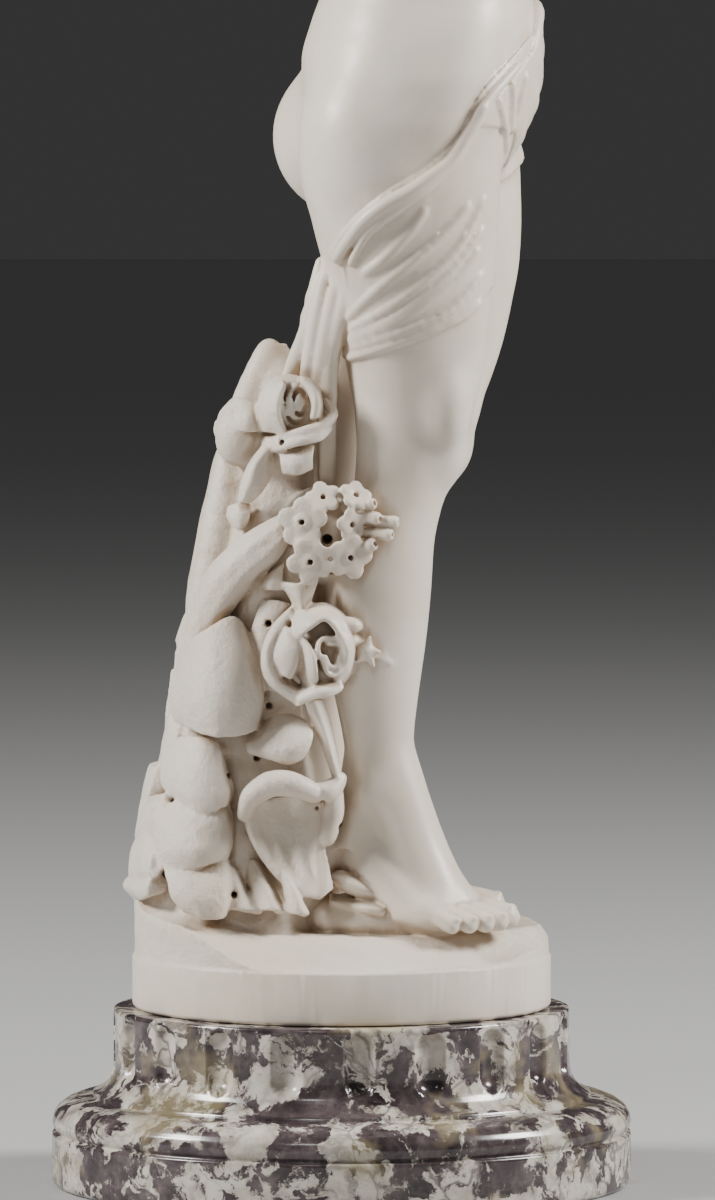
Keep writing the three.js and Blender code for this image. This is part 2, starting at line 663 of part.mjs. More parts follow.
function cloth() {
  const legEdge = [...EDGE.slice(0, 6).map(([, z, turn]) => [turn, z]), [-20, 552], [12, 552]];
  const wrap = plate((u, v) => {
    const turn = mix(-178, 12, u);
    const [low, high] = [along(HEM, turn), along(legEdge, turn) - 2];
    const fold = 1.3 * Math.sin(v * 17 - u * 7) * (1 - 0.5 * u);
    return skin(NEAR_LEG, mix(low, high, v), turn, 2.6 + fold + 1.5 * v);
  }, { out: 0, back: 8, across: 9, along: 4 });
  const roll = limb(
    EDGE.map(([rows, z, turn], i) => [skin(rows, z, turn, 3), 6.5 - 0.2 * i, 5 - 0.15 * i]),
    { up: V(0, 0, 1), sides: 5, steps: 12 },
  );
  const beltEdge = EDGE.slice(6).map(([, z, turn]) => [turn, z]);
  const belt = plate((u, v) => {
    const turn = mix(-36, 62, u);
    const low = along([[-36, 540], [-10, 512], [20, 506], [62, 530]], turn);
    const fold = 1.3 * Math.sin(v * 14 + u * 3);
    return skin(TORSO, mix(low, along(beltEdge, turn) - 2, v), turn, 2.6 + fold, 2.25);
  }, { out: 0, back: 8, across: 6, along: 3 });
  const falls = [
    [V(-4, -44, 468), V(-9, -46, 448), V(-13, -46, 431), V(-17, -42, 412), V(-20, -34, 380)],
    [V(2, -50, 470), V(-3, -51, 448), V(-7, -50, 428), V(-9, -46, 405), V(-8, -36, 354)],
    [V(8, -54, 470), V(4, -56, 446), V(0, -54, 426), V(-3, -48, 405), V(-3, -36, 370)],
  ].map((path) => rope(path.map((p, i) => [p, 6 + 0.6 * i, 5.5]), V(0, 1, 0)));
  const band = plate((u, v) => {
    const a = mix(0, 1, u);
    const spine = new THREE.CatmullRomCurve3([
      V(-24, -52, 328), V(-45, -52, 313), V(-65, -42, 292), V(-76, -28, 272), V(-80, -4, 252)]);
    const p = spine.getPoint(a);
    return p.add(V(-4 * (v - 0.5), 6 * (v - 0.5), mix(-10 - 6 * a, 9 + 14 * a, v)));
  }, { out: 4, back: 6, across: 5, along: 2 });
  const backFolds = [
    [V(-36, -4, 418), V(-46, -12, 395), V(-53, -16, 368), V(-60, -24, 330), V(-66, -26, 290)],
    [V(-38, 8, 410), V(-49, 10, 380), V(-56, 10, 350), V(-64, 8, 300), V(-72, 8, 250)],
    [V(-30, 24, 400), V(-44, 34, 370), V(-52, 38, 330), V(-60, 40, 280), V(-62, 44, 240)],
    [V(-10, 30, 450), V(-18, 38, 410), V(-24, 42, 360), V(-30, 44, 300), V(-30, 48, 240)],
  ].map((path) => rope(path.map((p, i) => [p, 6 + i, 6 + i]), V(1, 0, 0)));
  return [wrap, roll, belt, ...falls, band, ...backFolds];
}

// ---------------------------------------------------------------- flowers and leaves
// A frame whose z axis points along `facing`.
function facingFrame(centre, facing) {
  const turn = new THREE.Quaternion().setFromUnitVectors(V(0, 0, 1), V(...facing).normalize());
  return (p) => p.applyQuaternion(turn).add(V(...centre));
}

// An open cup with a scalloped rim, from its foot at `low` to its rim at `high`, measured along z.
function cup(place, { lobes, inner, outer, low, high, thick = 1.8, turn = 0 }) {
  const sides = 2 * lobes;
  const ring = (t, inset) =>
    Array.from({ length: sides }, (_, i) => {
      const a = turn + (2 * Math.PI * i) / sides;
      const lobe = i % 2 === 0 ? -1 : 0.6;
      const r = mix(inner, outer, t ** 0.7) * (1 + 0.09 * lobe * t) - inset;
      return place(V(r * Math.cos(a), r * Math.sin(a), mix(low, high * (1 + 0.12 * lobe), t)));
    });
  const floor = ring(0.12, thick);
  return solid(loft([ring(0, 0), ring(0.5, 0), ring(1, 0), ring(1, thick), ring(0.55, thick), floor]));
}

// The wound heart of a rose.
function heart(place, radius, low, high) {
  return plate((u, v) => {
    const a = 3.4 * Math.PI * u;
    const r = radius * mix(0.22, 1, u);
    return place(V(r * Math.cos(a), r * Math.sin(a), mix(low, high - 0.2 * radius * u, v)));
  }, { out: 0.9, back: 0.9, across: 10, along: 1 });
}

// Cupped petals nested round a wound heart, on a rounded calyx.
function rose({ centre, facing, radius, cups, heartSize }) {
  const place = facingFrame(centre, facing);
  const parts = cups.map(([lobes, reach, rim, turn], i) =>
    cup(place, {
      lobes,
      turn,
      inner: radius * reach * 0.55,
      outer: radius * reach,
      low: (0.13 * i - 0.5) * radius,
      high: radius * rim,
    }),
  );
  const stem = [V(0, 0, -1.1 * radius), V(0, 0, -0.45 * radius)].map(place);
  parts.push(stalk([stem[0], 3, 3], [stem[1], radius * 0.5, radius * 0.5]));
  if (heartSize) parts.push(heart(place, radius * heartSize, -0.35 * radius, radius * 0.35));
  return parts;
}

// A small five-lobed flower with a drilled eye.
function starFlower({ centre, facing, radius }) {
  const outline = new THREE.Shape(
    Array.from({ length: 10 }, (_, i) => {
      const a = (2 * Math.PI * i) / 10;
      const r = radius * (i % 2 === 0 ? 0.66 : 1.06);
      return new THREE.Vector2(r * Math.cos(a), r * Math.sin(a));
    }),
  );
  const eye = radius * 0.18;
  const eyeCorners = [[0, eye], [eye, 0], [0, -eye], [-eye, 0]].map((p) => new THREE.Vector2(...p));
  outline.holes.push(new THREE.Path(eyeCorners));
  const body = new THREE.ExtrudeGeometry(outline, { depth: 2.6, bevelEnabled: false, curveSegments: 4 });
  const place = facingFrame(centre, facing);
  const points = Array.from({ length: body.attributes.position.count }, (_, i) =>
    place(V().fromBufferAttribute(body.attributes.position, i).sub(V(0, 0, 1.3))));
  const stem = [[V(0, 0, -16), 3], [V(0, 0, -0.8), radius * 0.55]].map(([p, r]) => [place(p), r, r]);
  return [solid(new THREE.BufferGeometry().setFromPoints(points)), stalk(...stem)];
}

// A leaf from `root` to `tip`, arched by `arch` and cupped by `cup` along its normal.
function leaf({ root, tip, normal, wide, arch = 4, cup = 2, thick = 2.4 }) {
  const [a, b] = [V(...root), V(...tip)];
  const along = b.clone().sub(a).normalize();
  const n = V(...normal).addScaledVector(along, -V(...normal).dot(along)).normalize();
  const side = V(0, 0, 0).crossVectors(n, along);
  return plate((u, v) => {
    const s = 2 * u - 1;
    const half = (wide / 2) * (0.18 + 0.82 * Math.sin(Math.PI * mix(0.12, 0.93, v)));
    return a.clone().lerp(b, v)
      .addScaledVector(side, s * half)
      .addScaledVector(n, arch * Math.sin(Math.PI * v) + cup * s * s);
  }, { out: thick / 2, back: thick / 2, across: 2, along: 3 });
}

const ROSES = [
  {
    centre: [-18, -66, 271], facing: [0.35, -1, 0.1], radius: 22,
    cups: [[5, 1, 0.25, 0.2], [4, 0.68, 0.4, 1.1], [3, 0.4, 0.45, 0.4]],
  },
  {
    centre: [-26, -48, 393], facing: [0.2, -0.9, 0.45], radius: 17,
    cups: [[4, 0.92, 0.4, 0.9]], heartSize: 0.66,
  },
  {
    centre: [-50, -34, 378], facing: [-0.6, -0.5, 0.65], radius: 16,
    cups: [[4, 0.9, 0.45, 0.6]], heartSize: 0.6,
  },
];

const STAR_FLOWERS = [
  { centre: [-19, -67, 337], facing: [-0.2, -1, 0.1], radius: 11 },
  { centre: [-17, -67, 318], facing: [-0.1, -1, -0.2], radius: 11 },
  { centre: [4, -67, 321], facing: [0.35, -1, -0.15], radius: 11 },
  { centre: [5, -67, 339], facing: [0.4, -0.9, 0.1], radius: 8 },
  { centre: [8, -64, 350], facing: [0.4, -0.8, 0.5], radius: 8 },
];

const LEAVES = [
  { root: [-32, -50, 296], tip: [-34, -62, 262], normal: [-0.3, -1, 0], wide: 22 },
  { root: [-20, -50, 372], tip: [-46, -50, 346], normal: [-0.4, -1, 0.2], wide: 16, cup: 4 },
  { root: [-18, -48, 352], tip: [-34, -60, 342], normal: [0, -1, 0.3], wide: 16 },
  { root: [-10, -46, 244], tip: [-40, -66, 224], normal: [0, -0.8, 0.7], wide: 26, arch: 6 },
  {
    root: [-12, -44, 138], tip: [-30, -62, 206], normal: [0.2, -1, 0],
    wide: 46, arch: 10, cup: -5, thick: 4,
  },
  { root: [-46, -48, 182], tip: [-52, -66, 136], normal: [0, -1, 0.2], wide: 18 },
  { root: [-34, -50, 176], tip: [-38, -68, 134], normal: [0, -1, 0.2], wide: 16 },
  { root: [-20, -46, 344], tip: [-58, -50, 338], normal: [0, -1, 0.2], wide: 14, arch: 3 },
];

const BUDS = [
  [[2, -60, 343], [17, -67, 344], 4],
  [[4, -60, 338], [26, -66, 340], 4.5],
  [[4, -60, 330], [24, -67, 331], 4.5],
  [[0, -60, 322], [14, -68, 325], 4],
  [[-4, -58, 272], [13, -67, 274], 6],
  [[-58, -40, 340], [-50, -50, 334], 7],
  [[-56, -34, 352], [-62, -40, 350], 5],
];

function bouquet() {
  return [
    blob([-34, -34, 300], [26, 26, 70]),
    blob([-8, -50, 330], [24, 13, 25]),
    blob([-34, -36, 378], [20, 11, 18]),
    ...ROSES.flatMap(rose),
    ...STAR_FLOWERS.flatMap(starFlower),
    ...LEAVES.map(leaf),
    ...BUDS.map(([from, to, r]) => stalk([V(...from), r * 0.5, r * 0.5], [V(...to), r, r])),
  ];
}

// ---------------------------------------------------------------- the part
const SOCLE_TOLERANCE = 0.1;
const STATUE_TOLERANCE = 0.44;

const statue = fuse([
  roundBase(),
  column(TRUNK, 10, 2.2),
  column(WEB, 6, 2.2),
  blob(HEEL_ROCK.centre, HEEL_ROCK.radii),
  ...SCALES.map(scale),
  ...figure(),
  ...cloth(),
  ...bouquet(),
]);

const part = new THREE.Group();
part.add(meshOf(socle(), "socle", breccia, SOCLE_TOLERANCE));
part.add(meshOf(statue, "statue", marble, STATUE_TOLERANCE));

export default part;
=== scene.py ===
"""A carved marble statue of a standing woman with cloth and roses, on a fluted breccia socle.

Modelling is in millimetres in the frame's own axes: the figure faces +X, her right side is towards -Y.
The carved block is built as a field of signed distances and turned into one skin.
"""

import math

import bpy
import numpy as np
import openvdb
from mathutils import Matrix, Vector


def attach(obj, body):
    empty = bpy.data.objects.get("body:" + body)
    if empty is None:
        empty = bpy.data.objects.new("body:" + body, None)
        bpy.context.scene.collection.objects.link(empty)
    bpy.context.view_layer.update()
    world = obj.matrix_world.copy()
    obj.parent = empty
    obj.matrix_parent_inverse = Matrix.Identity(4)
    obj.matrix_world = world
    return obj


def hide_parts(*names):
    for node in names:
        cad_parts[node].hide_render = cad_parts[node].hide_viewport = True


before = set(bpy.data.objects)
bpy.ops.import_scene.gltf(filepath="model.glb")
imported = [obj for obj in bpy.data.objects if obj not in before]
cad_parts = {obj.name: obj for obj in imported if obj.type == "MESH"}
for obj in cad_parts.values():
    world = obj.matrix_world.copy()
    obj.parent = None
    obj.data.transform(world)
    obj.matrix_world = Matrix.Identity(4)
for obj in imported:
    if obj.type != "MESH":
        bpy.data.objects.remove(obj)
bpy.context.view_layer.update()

VOXEL = 0.9
LOW = np.array([-116.0, -124.0, 86.0])
HIGH = np.array([124.0, 130.0, 908.0])
FAR = 12.0
SOLE = 132.0
SKIN_FACES = 188000

# ---------------------------------------------------------------- the field
COUNT = np.ceil((HIGH - LOW) / VOXEL).astype(int) + 1
FIELD = np.full(COUNT, FAR, np.float32)
AXES = [LOW[k] + VOXEL * np.arange(COUNT[k], dtype=np.float32) for k in range(3)]


def window(low, high, margin=8.0):
    """The part of the field around a box, as slices and as broadcasting x, y, z."""
    start = np.clip(np.floor((np.array(low) - margin - LOW) / VOXEL).astype(int), 0, COUNT - 1)
    stop = np.clip(np.ceil((np.array(high) + margin - LOW) / VOXEL).astype(int) + 1, 1, COUNT)
    cut = tuple(slice(a, b) for a, b in zip(start, stop))
    x, y, z = (AXES[k][cut[k]] for k in range(3))
    return cut, x[:, None, None], y[None, :, None], z[None, None, :]


def smooth_min(a, b, k):
    if k <= 0:
        return np.minimum(a, b)
    h = np.maximum(k - np.abs(a - b), 0) / k
    return np.minimum(a, b) - h * h * k * 0.25


def join(cut, d, k=0.0):
    FIELD[cut] = smooth_min(FIELD[cut], d.astype(np.float32), k)


def carve(cut, d, k=0.0):
    FIELD[cut] = -smooth_min(-FIELD[cut], d.astype(np.float32), k)


def sample(field, points):
    """The field's value at points, by trilinear steps."""
    at = (points - LOW) / VOXEL
    base = np.clip(np.floor(at).astype(int), 0, COUNT - 2)
    t = at - base
    total = 0
    for corner in range(8):
        o = np.array([corner & 1, corner >> 1 & 1, corner >> 2 & 1])
        weight = np.prod(np.where(o, t, 1 - t), axis=1)
        i = base + o
        total = total + weight * field[i[:, 0], i[:, 1], i[:, 2]]
    return total


def ease(t):
    t = np.clip(t, 0, 1)
    return t * t * (3 - 2 * t)


def mix(a, b, t):
    return a + (b - a) * t


def through(xs, ys, at):
    """A smooth curve through points, with no overshoot."""
    xs, ys, at = np.asarray(xs, float), np.asarray(ys, float), np.asarray(at, float)
    step = np.diff(xs)
    slope = np.diff(ys) / step
    m = np.zeros_like(ys)
    same = slope[:-1] * slope[1:] > 0
    inner = 2 * slope[:-1] * slope[1:] / np.where(same, slope[:-1] + slope[1:], 1)
    m[1:-1] = np.where(same, inner, 0)
    m[0], m[-1] = slope[0], slope[-1]
    k = np.clip(np.searchsorted(xs, at) - 1, 0, len(xs) - 2)
    t = np.clip((at - xs[k]) / step[k], 0, 1)
    h = step[k]
    return (
        (2 * t**3 - 3 * t**2 + 1) * ys[k]
        + (t**3 - 2 * t**2 + t) * h * m[k]
        + (3 * t**2 - 2 * t**3) * ys[k + 1]
        + (t**3 - t**2) * h * m[k + 1]
    )


def waves(x, y, z, seed, scale, count=7):
    """Smooth noise of about -1 to 1: a sum of sine waves with random headings."""
    rng = np.random.default_rng(seed)
    total = 0
    for _ in range(count):
        heading = rng.normal(size=3)
        heading *= rng.uniform(0.6, 1.6) / (np.linalg.norm(heading) * scale)
        total = total + np.sin(heading[0] * x + heading[1] * y + heading[2] * z + rng.uniform(0, 6.28))
    return total / (0.7 * count)


# ---------------------------------------------------------------- forms of the field
class Column:
    """Level sections stacked up: rows of height above the sole, back, front, near and far edges.

    roundness squares the section and taper narrows it towards the front.
    """

    def __init__(self, rows, roundness=2.1, taper=0.0):
        self.rows = np.array(rows, float)
        self.height = SOLE + self.rows[:, 0]
        self.roundness = roundness
        self.taper = taper

    def edges(self, z):
        back, front, near, far = (through(self.height, self.rows[:, k], z) for k in (1, 2, 3, 4))
        return (back + front) / 2, (near + far) / 2, (front - back) / 2, (far - near) / 2

    def distance(self, x, y, z):
        cx, cy, a, b = (e.astype(np.float32) for e in self.edges(z))
        px, py = x - cx, y - cy
        b = b * (1 - self.taper * np.clip(px / a, -1, 1))
        n = self.roundness
        f = (np.abs(px / a) ** n + np.abs(py / b) ** n) ** (1 / n) + 1e-4
        radius = np.sqrt(px * px + py * py)
        side = radius * (1 - 1 / f)
        side = np.where(f < 0.3, np.minimum(side, -0.5 * np.minimum(a, b)), side)
        return np.maximum(side, np.maximum(z - self.height[-1], self.height[0] - z))

    def box(self):
        r = self.rows
        low = (r[:, 1].min(), r[:, 3].min(), self.height[0])
        return low, (r[:, 2].max(), r[:, 4].max(), self.height[-1])

    def point(self, z, heading, proud=0.0):
        """The skin at a height and a heading in degrees from +X."""
        cx, cy, a, b = (float(e) for e in self.edges(z))
        c, s = math.cos(math.radians(heading)), math.sin(math.radians(heading))
        f = (abs(c / a) ** self.roundness + abs(s / b) ** self.roundness) ** (-1 / self.roundness)
        for _ in range(3):
            wide = b * (1 - self.taper * max(-1, min(1, f * c / a)))
            f = (abs(c / a) ** self.roundness + abs(s / wide) ** self.roundness) ** (-1 / self.roundness)
        return np.array([cx + (f + proud) * c, cy + (f + proud) * s, z])


def column(shape, k=0.0):
    low, high = shape.box()
    cut, x, y, z = window(low, high)
    join(cut, shape.distance(x, y, z), k)


def turned(angles):
    """A rotation matrix from angles in degrees about X, then Y, then Z."""
    a, b, c = (math.radians(v) for v in angles)
    rx = np.array([[1, 0, 0], [0, math.cos(a), -math.sin(a)], [0, math.sin(a), math.cos(a)]])
    ry = np.array([[math.cos(b), 0, math.sin(b)], [0, 1, 0], [-math.sin(b), 0, math.cos(b)]])
    rz = np.array([[math.cos(c), -math.sin(c), 0], [math.sin(c), math.cos(c), 0], [0, 0, 1]])
    return rz @ ry @ rx


def ball_distance(x, y, z, centre, radii, turn):
    m = turn if isinstance(turn, np.ndarray) else turned(turn)
    px, py, pz = x - centre[0], y - centre[1], z - centre[2]
    q = [px * m[0, i] + py * m[1, i] + pz * m[2, i] for i in range(3)]
    f = np.sqrt(sum((q[i] / radii[i]) ** 2 for i in range(3))) + 1e-4
    return np.sqrt(px * px + py * py + pz * pz) * (1 - 1 / f)


def ball(centre, radii, turn=(0, 0, 0), k=6.0, cutting=False):
    reach = max(radii)
    centre = np.array(centre, float)
    cut, x, y, z = window(centre - reach, centre + reach)
    (carve if cutting else join)(cut, ball_distance(x, y, z, centre, radii, turn), k)


def spline_weights(count, samples):
    """How much each of `count` control points weighs at each of the evenly spaced samples."""
    at = np.linspace(0, count - 1, samples)
    k = np.clip(at.astype(int), 0, count - 2)
    t = at - k
    weights = np.zeros((samples, count))
    parts = (-t + 2 * t**2 - t**3, 2 - 5 * t**2 + 3 * t**3, t + 4 * t**2 - 3 * t**3, t**3 - t**2)
    for shift, value in zip((-1, 0, 1, 2), parts):
        np.add.at(weights, (np.arange(samples), np.clip(k + shift, 0, count - 1)), value / 2)
    return weights


def path(stops, steps):
    """A smooth path through stops of (x, y, z, half width, half depth)."""
    return spline_weights(len(stops), steps + 1) @ np.array(stops, float)


def limb(stops, up=(0, 0, 1), k=4.0, steps=None, cutting=False):
    """A tube along a smooth path. The half depth is measured along `up`."""
    line = path(stops, steps or 5 * (len(stops) - 1))
    for p, q in zip(line[:-1], line[1:]):
        limb_piece(p, q, np.array(up, float), k, cutting)


def limb_piece(p, q, up, k, cutting):
    a, b = p[:3], q[:3]
    reach = max(p[3], p[4], q[3], q[4])
    cut, x, y, z = window(np.minimum(a, b) - reach, np.maximum(a, b) + reach, 6.0)
    axis = b - a
    length = np.linalg.norm(axis)
    axis /= length
    side = np.cross(axis, up)
    side /= np.linalg.norm(side)
    rise = np.cross(side, axis)
    px, py, pz = x - a[0], y - a[1], z - a[2]
    t = np.clip((px * axis[0] + py * axis[1] + pz * axis[2]) / length, 0, 1)
    px, py, pz = px - axis[0] * length * t, py - axis[1] * length * t, pz - axis[2] * length * t
    wide, deep = mix(p[3], q[3], t), mix(p[4], q[4], t)
    u = (px * side[0] + py * side[1] + pz * side[2]) / wide
    v = (px * rise[0] + py * rise[1] + pz * rise[2]) / deep
    w = (px * axis[0] + py * axis[1] + pz * axis[2]) / np.minimum(wide, deep)
    f = np.sqrt(u * u + v * v + w * w) + 1e-4
    d = np.sqrt(px * px + py * py + pz * pz) * (1 - 1 / f)
    (carve if cutting else join)(cut, d, k)


# ---------------------------------------------------------------- thin forms, as plates
class Plates:
    """Closed plates gathered into one set of triangles and joined to the field together."""

    def __init__(self):
        self.points, self.faces, self.count = [], [], 0

    def add(self, points, faces):
        self.points.append(points)
        self.faces.append(np.array(faces) + self.count)
        self.count += len(points)

    def plate(self, p, out, back):
        """A closed plate over a grid of points, `out` to the side of its normal and `back` to the other."""
        across, along = p.shape[0] - 1, p.shape[1] - 1
        normal = np.cross(np.gradient(p, axis=0), np.gradient(p, axis=1))
        normal /= np.linalg.norm(normal, axis=-1, keepdims=True) + 1e-9
        u, v = np.meshgrid(np.arange(across + 1), np.arange(along + 1), indexing="ij")
        rim = np.minimum(np.minimum(u, across - u), np.minimum(v, along - v))
        thin = (0.55 + 0.45 * np.sqrt(np.clip(rim, 0, 1)))[..., None]
        faces = (p + normal * out * thin, p - normal * back * thin)
        points = np.concatenate([face.reshape(-1, 3) for face in faces])
        h = (across + 1) * (along + 1)
        index = np.arange(h).reshape(across + 1, along + 1)
        a, b, c, e = index[:-1, :-1], index[1:, :-1], index[1:, 1:], index[:-1, 1:]
        quads = [np.stack([a, b, c, e], -1).reshape(-1, 4), np.stack([a, e, c, b], -1).reshape(-1, 4) + h]
        for line in (index[::-1, 0], index[:, -1], index[0, :], index[-1, ::-1]):
            quads.append(np.stack([line[:-1], line[1:], line[1:] + h, line[:-1] + h], -1))
        quads = np.concatenate(quads)
        self.add(points, np.concatenate([quads[:, [0, 1, 2]], quads[:, [0, 2, 3]]]))

    def sheet(self, shape, out, back, across=10, along=10):
        """A plate over shape(u, v), which takes and gives arrays."""
        u, v = np.meshgrid(np.linspace(0, 1, across + 1), np.linspace(0, 1, along + 1), indexing="ij")
        self.plate(shape(u, v), out, back)

    def patch(self, rows, out=1.0, back=1.2, lumps=0.0, ripple=None, towards=(0, -1, 0.2)):
        """A plate through a grid of set points, with its face towards a given side."""
        rows = np.array(rows, float)
        tall = np.linalg.norm(np.diff(rows, axis=1), axis=2).sum(1).max()
        wide = np.linalg.norm(np.diff(rows, axis=0), axis=2).sum(0).max()
        across, along = int(np.clip(wide / 1.2, 8, 50)), int(np.clip(tall / 1.2, 8, 60))
        first, second = spline_weights(rows.shape[0], across + 1), spline_weights(rows.shape[1], along + 1)
        p = np.einsum("ai,ijk,bj->abk", first, rows, second)
        normal = np.cross(np.gradient(p, axis=0), np.gradient(p, axis=1))
        normal /= np.linalg.norm(normal, axis=-1, keepdims=True) + 1e-9
        if (normal @ np.array(towards, float)).mean() < 0:
            p, normal = p[::-1], -normal[::-1]
        x, y, z = p[..., 0], p[..., 1], p[..., 2]
        lift = lumps * (waves(x, y, z, 41, 9.0) + 0.5 * waves(x, y, z, 42, 4.0))
        if ripple:
            u, v = np.meshgrid(np.linspace(0, 1, across + 1), np.linspace(0, 1, along + 1), indexing="ij")
            lift = lift + ripple(u, v)
        self.plate(p + normal * lift[..., None], out, back)

    def ring(self, rings):
        """A closed torus-like skin over loops of points, each with the same count."""
        rings = np.array(rings)
        r, n = rings.shape[:2]
        index = np.arange(r * n).reshape(r, n)
        nxt, side = np.roll(index, -1, 0), np.roll(index, -1, 1)
        both = np.roll(nxt, -1, 1)
        quads = np.stack([index, side, both, nxt], -1).reshape(-1, 4)
        self.add(rings.reshape(-1, 3), np.concatenate([quads[:, [0, 1, 2]], quads[:, [0, 2, 3]]]))

    def join(self, k=0.8):
        points = np.concatenate(self.points).astype(np.float32)
        faces = np.concatenate(self.faces).astype(np.int32)
        grid = openvdb.FloatGrid.createLevelSetFromPolygons(
            points=points - LOW.astype(np.float32),
            triangles=faces,
            transform=openvdb.createLinearTransform(voxelSize=VOXEL),
            halfWidth=4.0,
        )
        low, high = grid.evalActiveVoxelBoundingBox()
        low = np.maximum(np.array(low), 0)
        high = np.minimum(np.array(high) + 1, COUNT)
        part = np.empty(high - low, np.float32)
        grid.copyToArray(part, ijk=tuple(int(v) for v in low))
        cut = tuple(slice(int(a), int(b)) for a, b in zip(low, high))
        part[part >= 3.99 * VOXEL] = FAR
        FIELD[cut] = smooth_min(FIELD[cut], part, k)


def facing_frame(centre, facing, spin=0.0):
    """Places local points so that local +z points along facing."""
    z = np.array(facing, float)
    z /= np.linalg.norm(z)
    x = np.cross([0.0, 0.0, 1.0], z)
    x = np.array([1.0, 0, 0]) if np.linalg.norm(x) < 0.01 else x / np.linalg.norm(x)
    y = np.cross(z, x)
    c, s = math.cos(spin), math.sin(spin)
    matrix = np.stack([x * c + y * s, y * c - x * s, z])
    return lambda p: p @ matrix + np.array(centre, float)


# ---------------------------------------------------------------- round base and ground
def ground(x, y):
    """Height of the carved ground."""
    r = np.sqrt(x * x + y * y) / 105.0
    front = ease(-y / 105.0 * 1.3)
    start = 0.94 - 0.26 * front
    rim = (7 + 8 * front) * ease((r - start) / (1 - start))
    back = 19 * ease((-x - 38) / 50)
    lumps = 1.5 * waves(x, y, 0, 3, 17) + 0.9 * waves(x, y, 0, 4, 6.5) + 0.45 * waves(x, y, 0, 5, 2.6)
    return SOLE - 1.5 - rim + back + lumps * (0.45 + 0.55 * ease((r - 0.35) / 0.3))


def round_base():
    cut, x, y, z = window((-105, -105, 89.3), (105, 105, 162))
    r = np.sqrt(x * x + y * y)
    rough = 0.8 * waves(x, y, z, 7, 5.0) + 0.5 * waves(x, y, z, 8, 2.4)
    upper = ease((z - 115.2) / 0.8)
    side = r - 105.0 + upper * (1.3 + 0.55 * rough)
    foot = np.maximum(side, 89.3 - z)
    foot = np.maximum(foot, (side + 89.3 - z + 1.6) * 0.7071)
    join(cut, np.maximum(foot, (z - ground(x, y)) * 0.9), 0)


# ---------------------------------------------------------------- figure: legs and trunk of the body
NEAR_LEG = Column(
    [
        [40, -8, 40, -50, -22],
        [53, -3, 41, -50, -22],
        [66, 0.5, 37, -50.5, -22],
        [80, 2.5, 35.5, -50, -22.5],
        [96, 0.5, 36, -52, -20],
        [118, -4, 38.5, -56, -15],
        [143, -8.5, 42, -60, -11],
        [168, -9, 44.5, -61, -10],
        [191, -3, 46, -59.5, -11.5],
        [208, 3, 49.5, -57.5, -12],
        [223, 6.5, 55, -57, -12],
        [240, 7.5, 61, -58, -11],
        [256, 6.5, 65, -60, -9.5],
        [271, 4, 69, -62.5, -8],
        [291, 0, 72, -66.5, -6],
        [311, -5, 74, -70, -4],
        [331, -9.5, 75, -73, -2],
        [351, -14.5, 76.5, -76, 0],
        [373, -17.5, 77.5, -78.5, 1],
        [398, -15, 76, -77, 0],
        [428, -3, 68, -66, -12],
        [450, 5, 60, -55, -20],
    ],
    taper=0.10,
)
FAR_LEG = Column(
    [
        [24, -20, 14, 12, 36],
        [38, -15, 24, 10, 38],
        [53, -10, 23, 9.5, 38.5],
        [73, -8.5, 23.5, 10, 37.5],
        [96, -9.5, 27, 7, 41.5],
        [118, -12, 31.5, 3.5, 46.5],
        [143, -13, 37, 1, 50.5],
        [168, -10, 42, 1, 51.5],
        [191, -3, 46, 1.5, 50],
        [208, 4, 50.5, 1.5, 49],
        [223, 9, 58, 1, 49],
        [240, 12, 64.5, 0, 50.5],
        [256, 12.5, 69, -1, 53],
        [271, 12, 75, -1.5, 56.5],
        [291, 11, 81.5, -1, 62],
        [311, 8.5, 86, -0.5, 67.5],
        [331, 5, 89.5, 0, 72],
        [351, 0, 90.5, 0, 76],
        [373, -8, 90, 0, 78.5],
        [398, -10, 88, 4, 79],
        [428, 0, 82, 12, 75],
    ],
    taper=0.10,
)
TORSO = Column(
    [
        [350, 22, 50, -34, 34],
        [366, 2, 72, -58, 58],
        [382, -12, 82, -71, 71],
        [400, -18, 89, -77.5, 77.5],
        [415, -20, 92, -78, 78],
        [431, -20, 94.5, -75, 75.5],
        [448, -16, 95.5, -70, 71],
        [461, -11.5, 94.5, -65, 66.5],
        [478, -4.5, 91, -61, 62],
        [495, -1, 87, -59, 59.5],
        [512, -1, 85, -60, 60.5],
        [530, -4, 84.5, -63, 63.5],
        [550, -8.5, 84, -67, 67],
        [570, -12, 82.5, -71, 71],
        [590, -14, 78, -75, 75],
        [611, -12, 71, -73, 73],
        [626, -6, 62, -59, 59],
        [641, 12, 54, -30, 30],
    ],
    roundness=2.2,
)


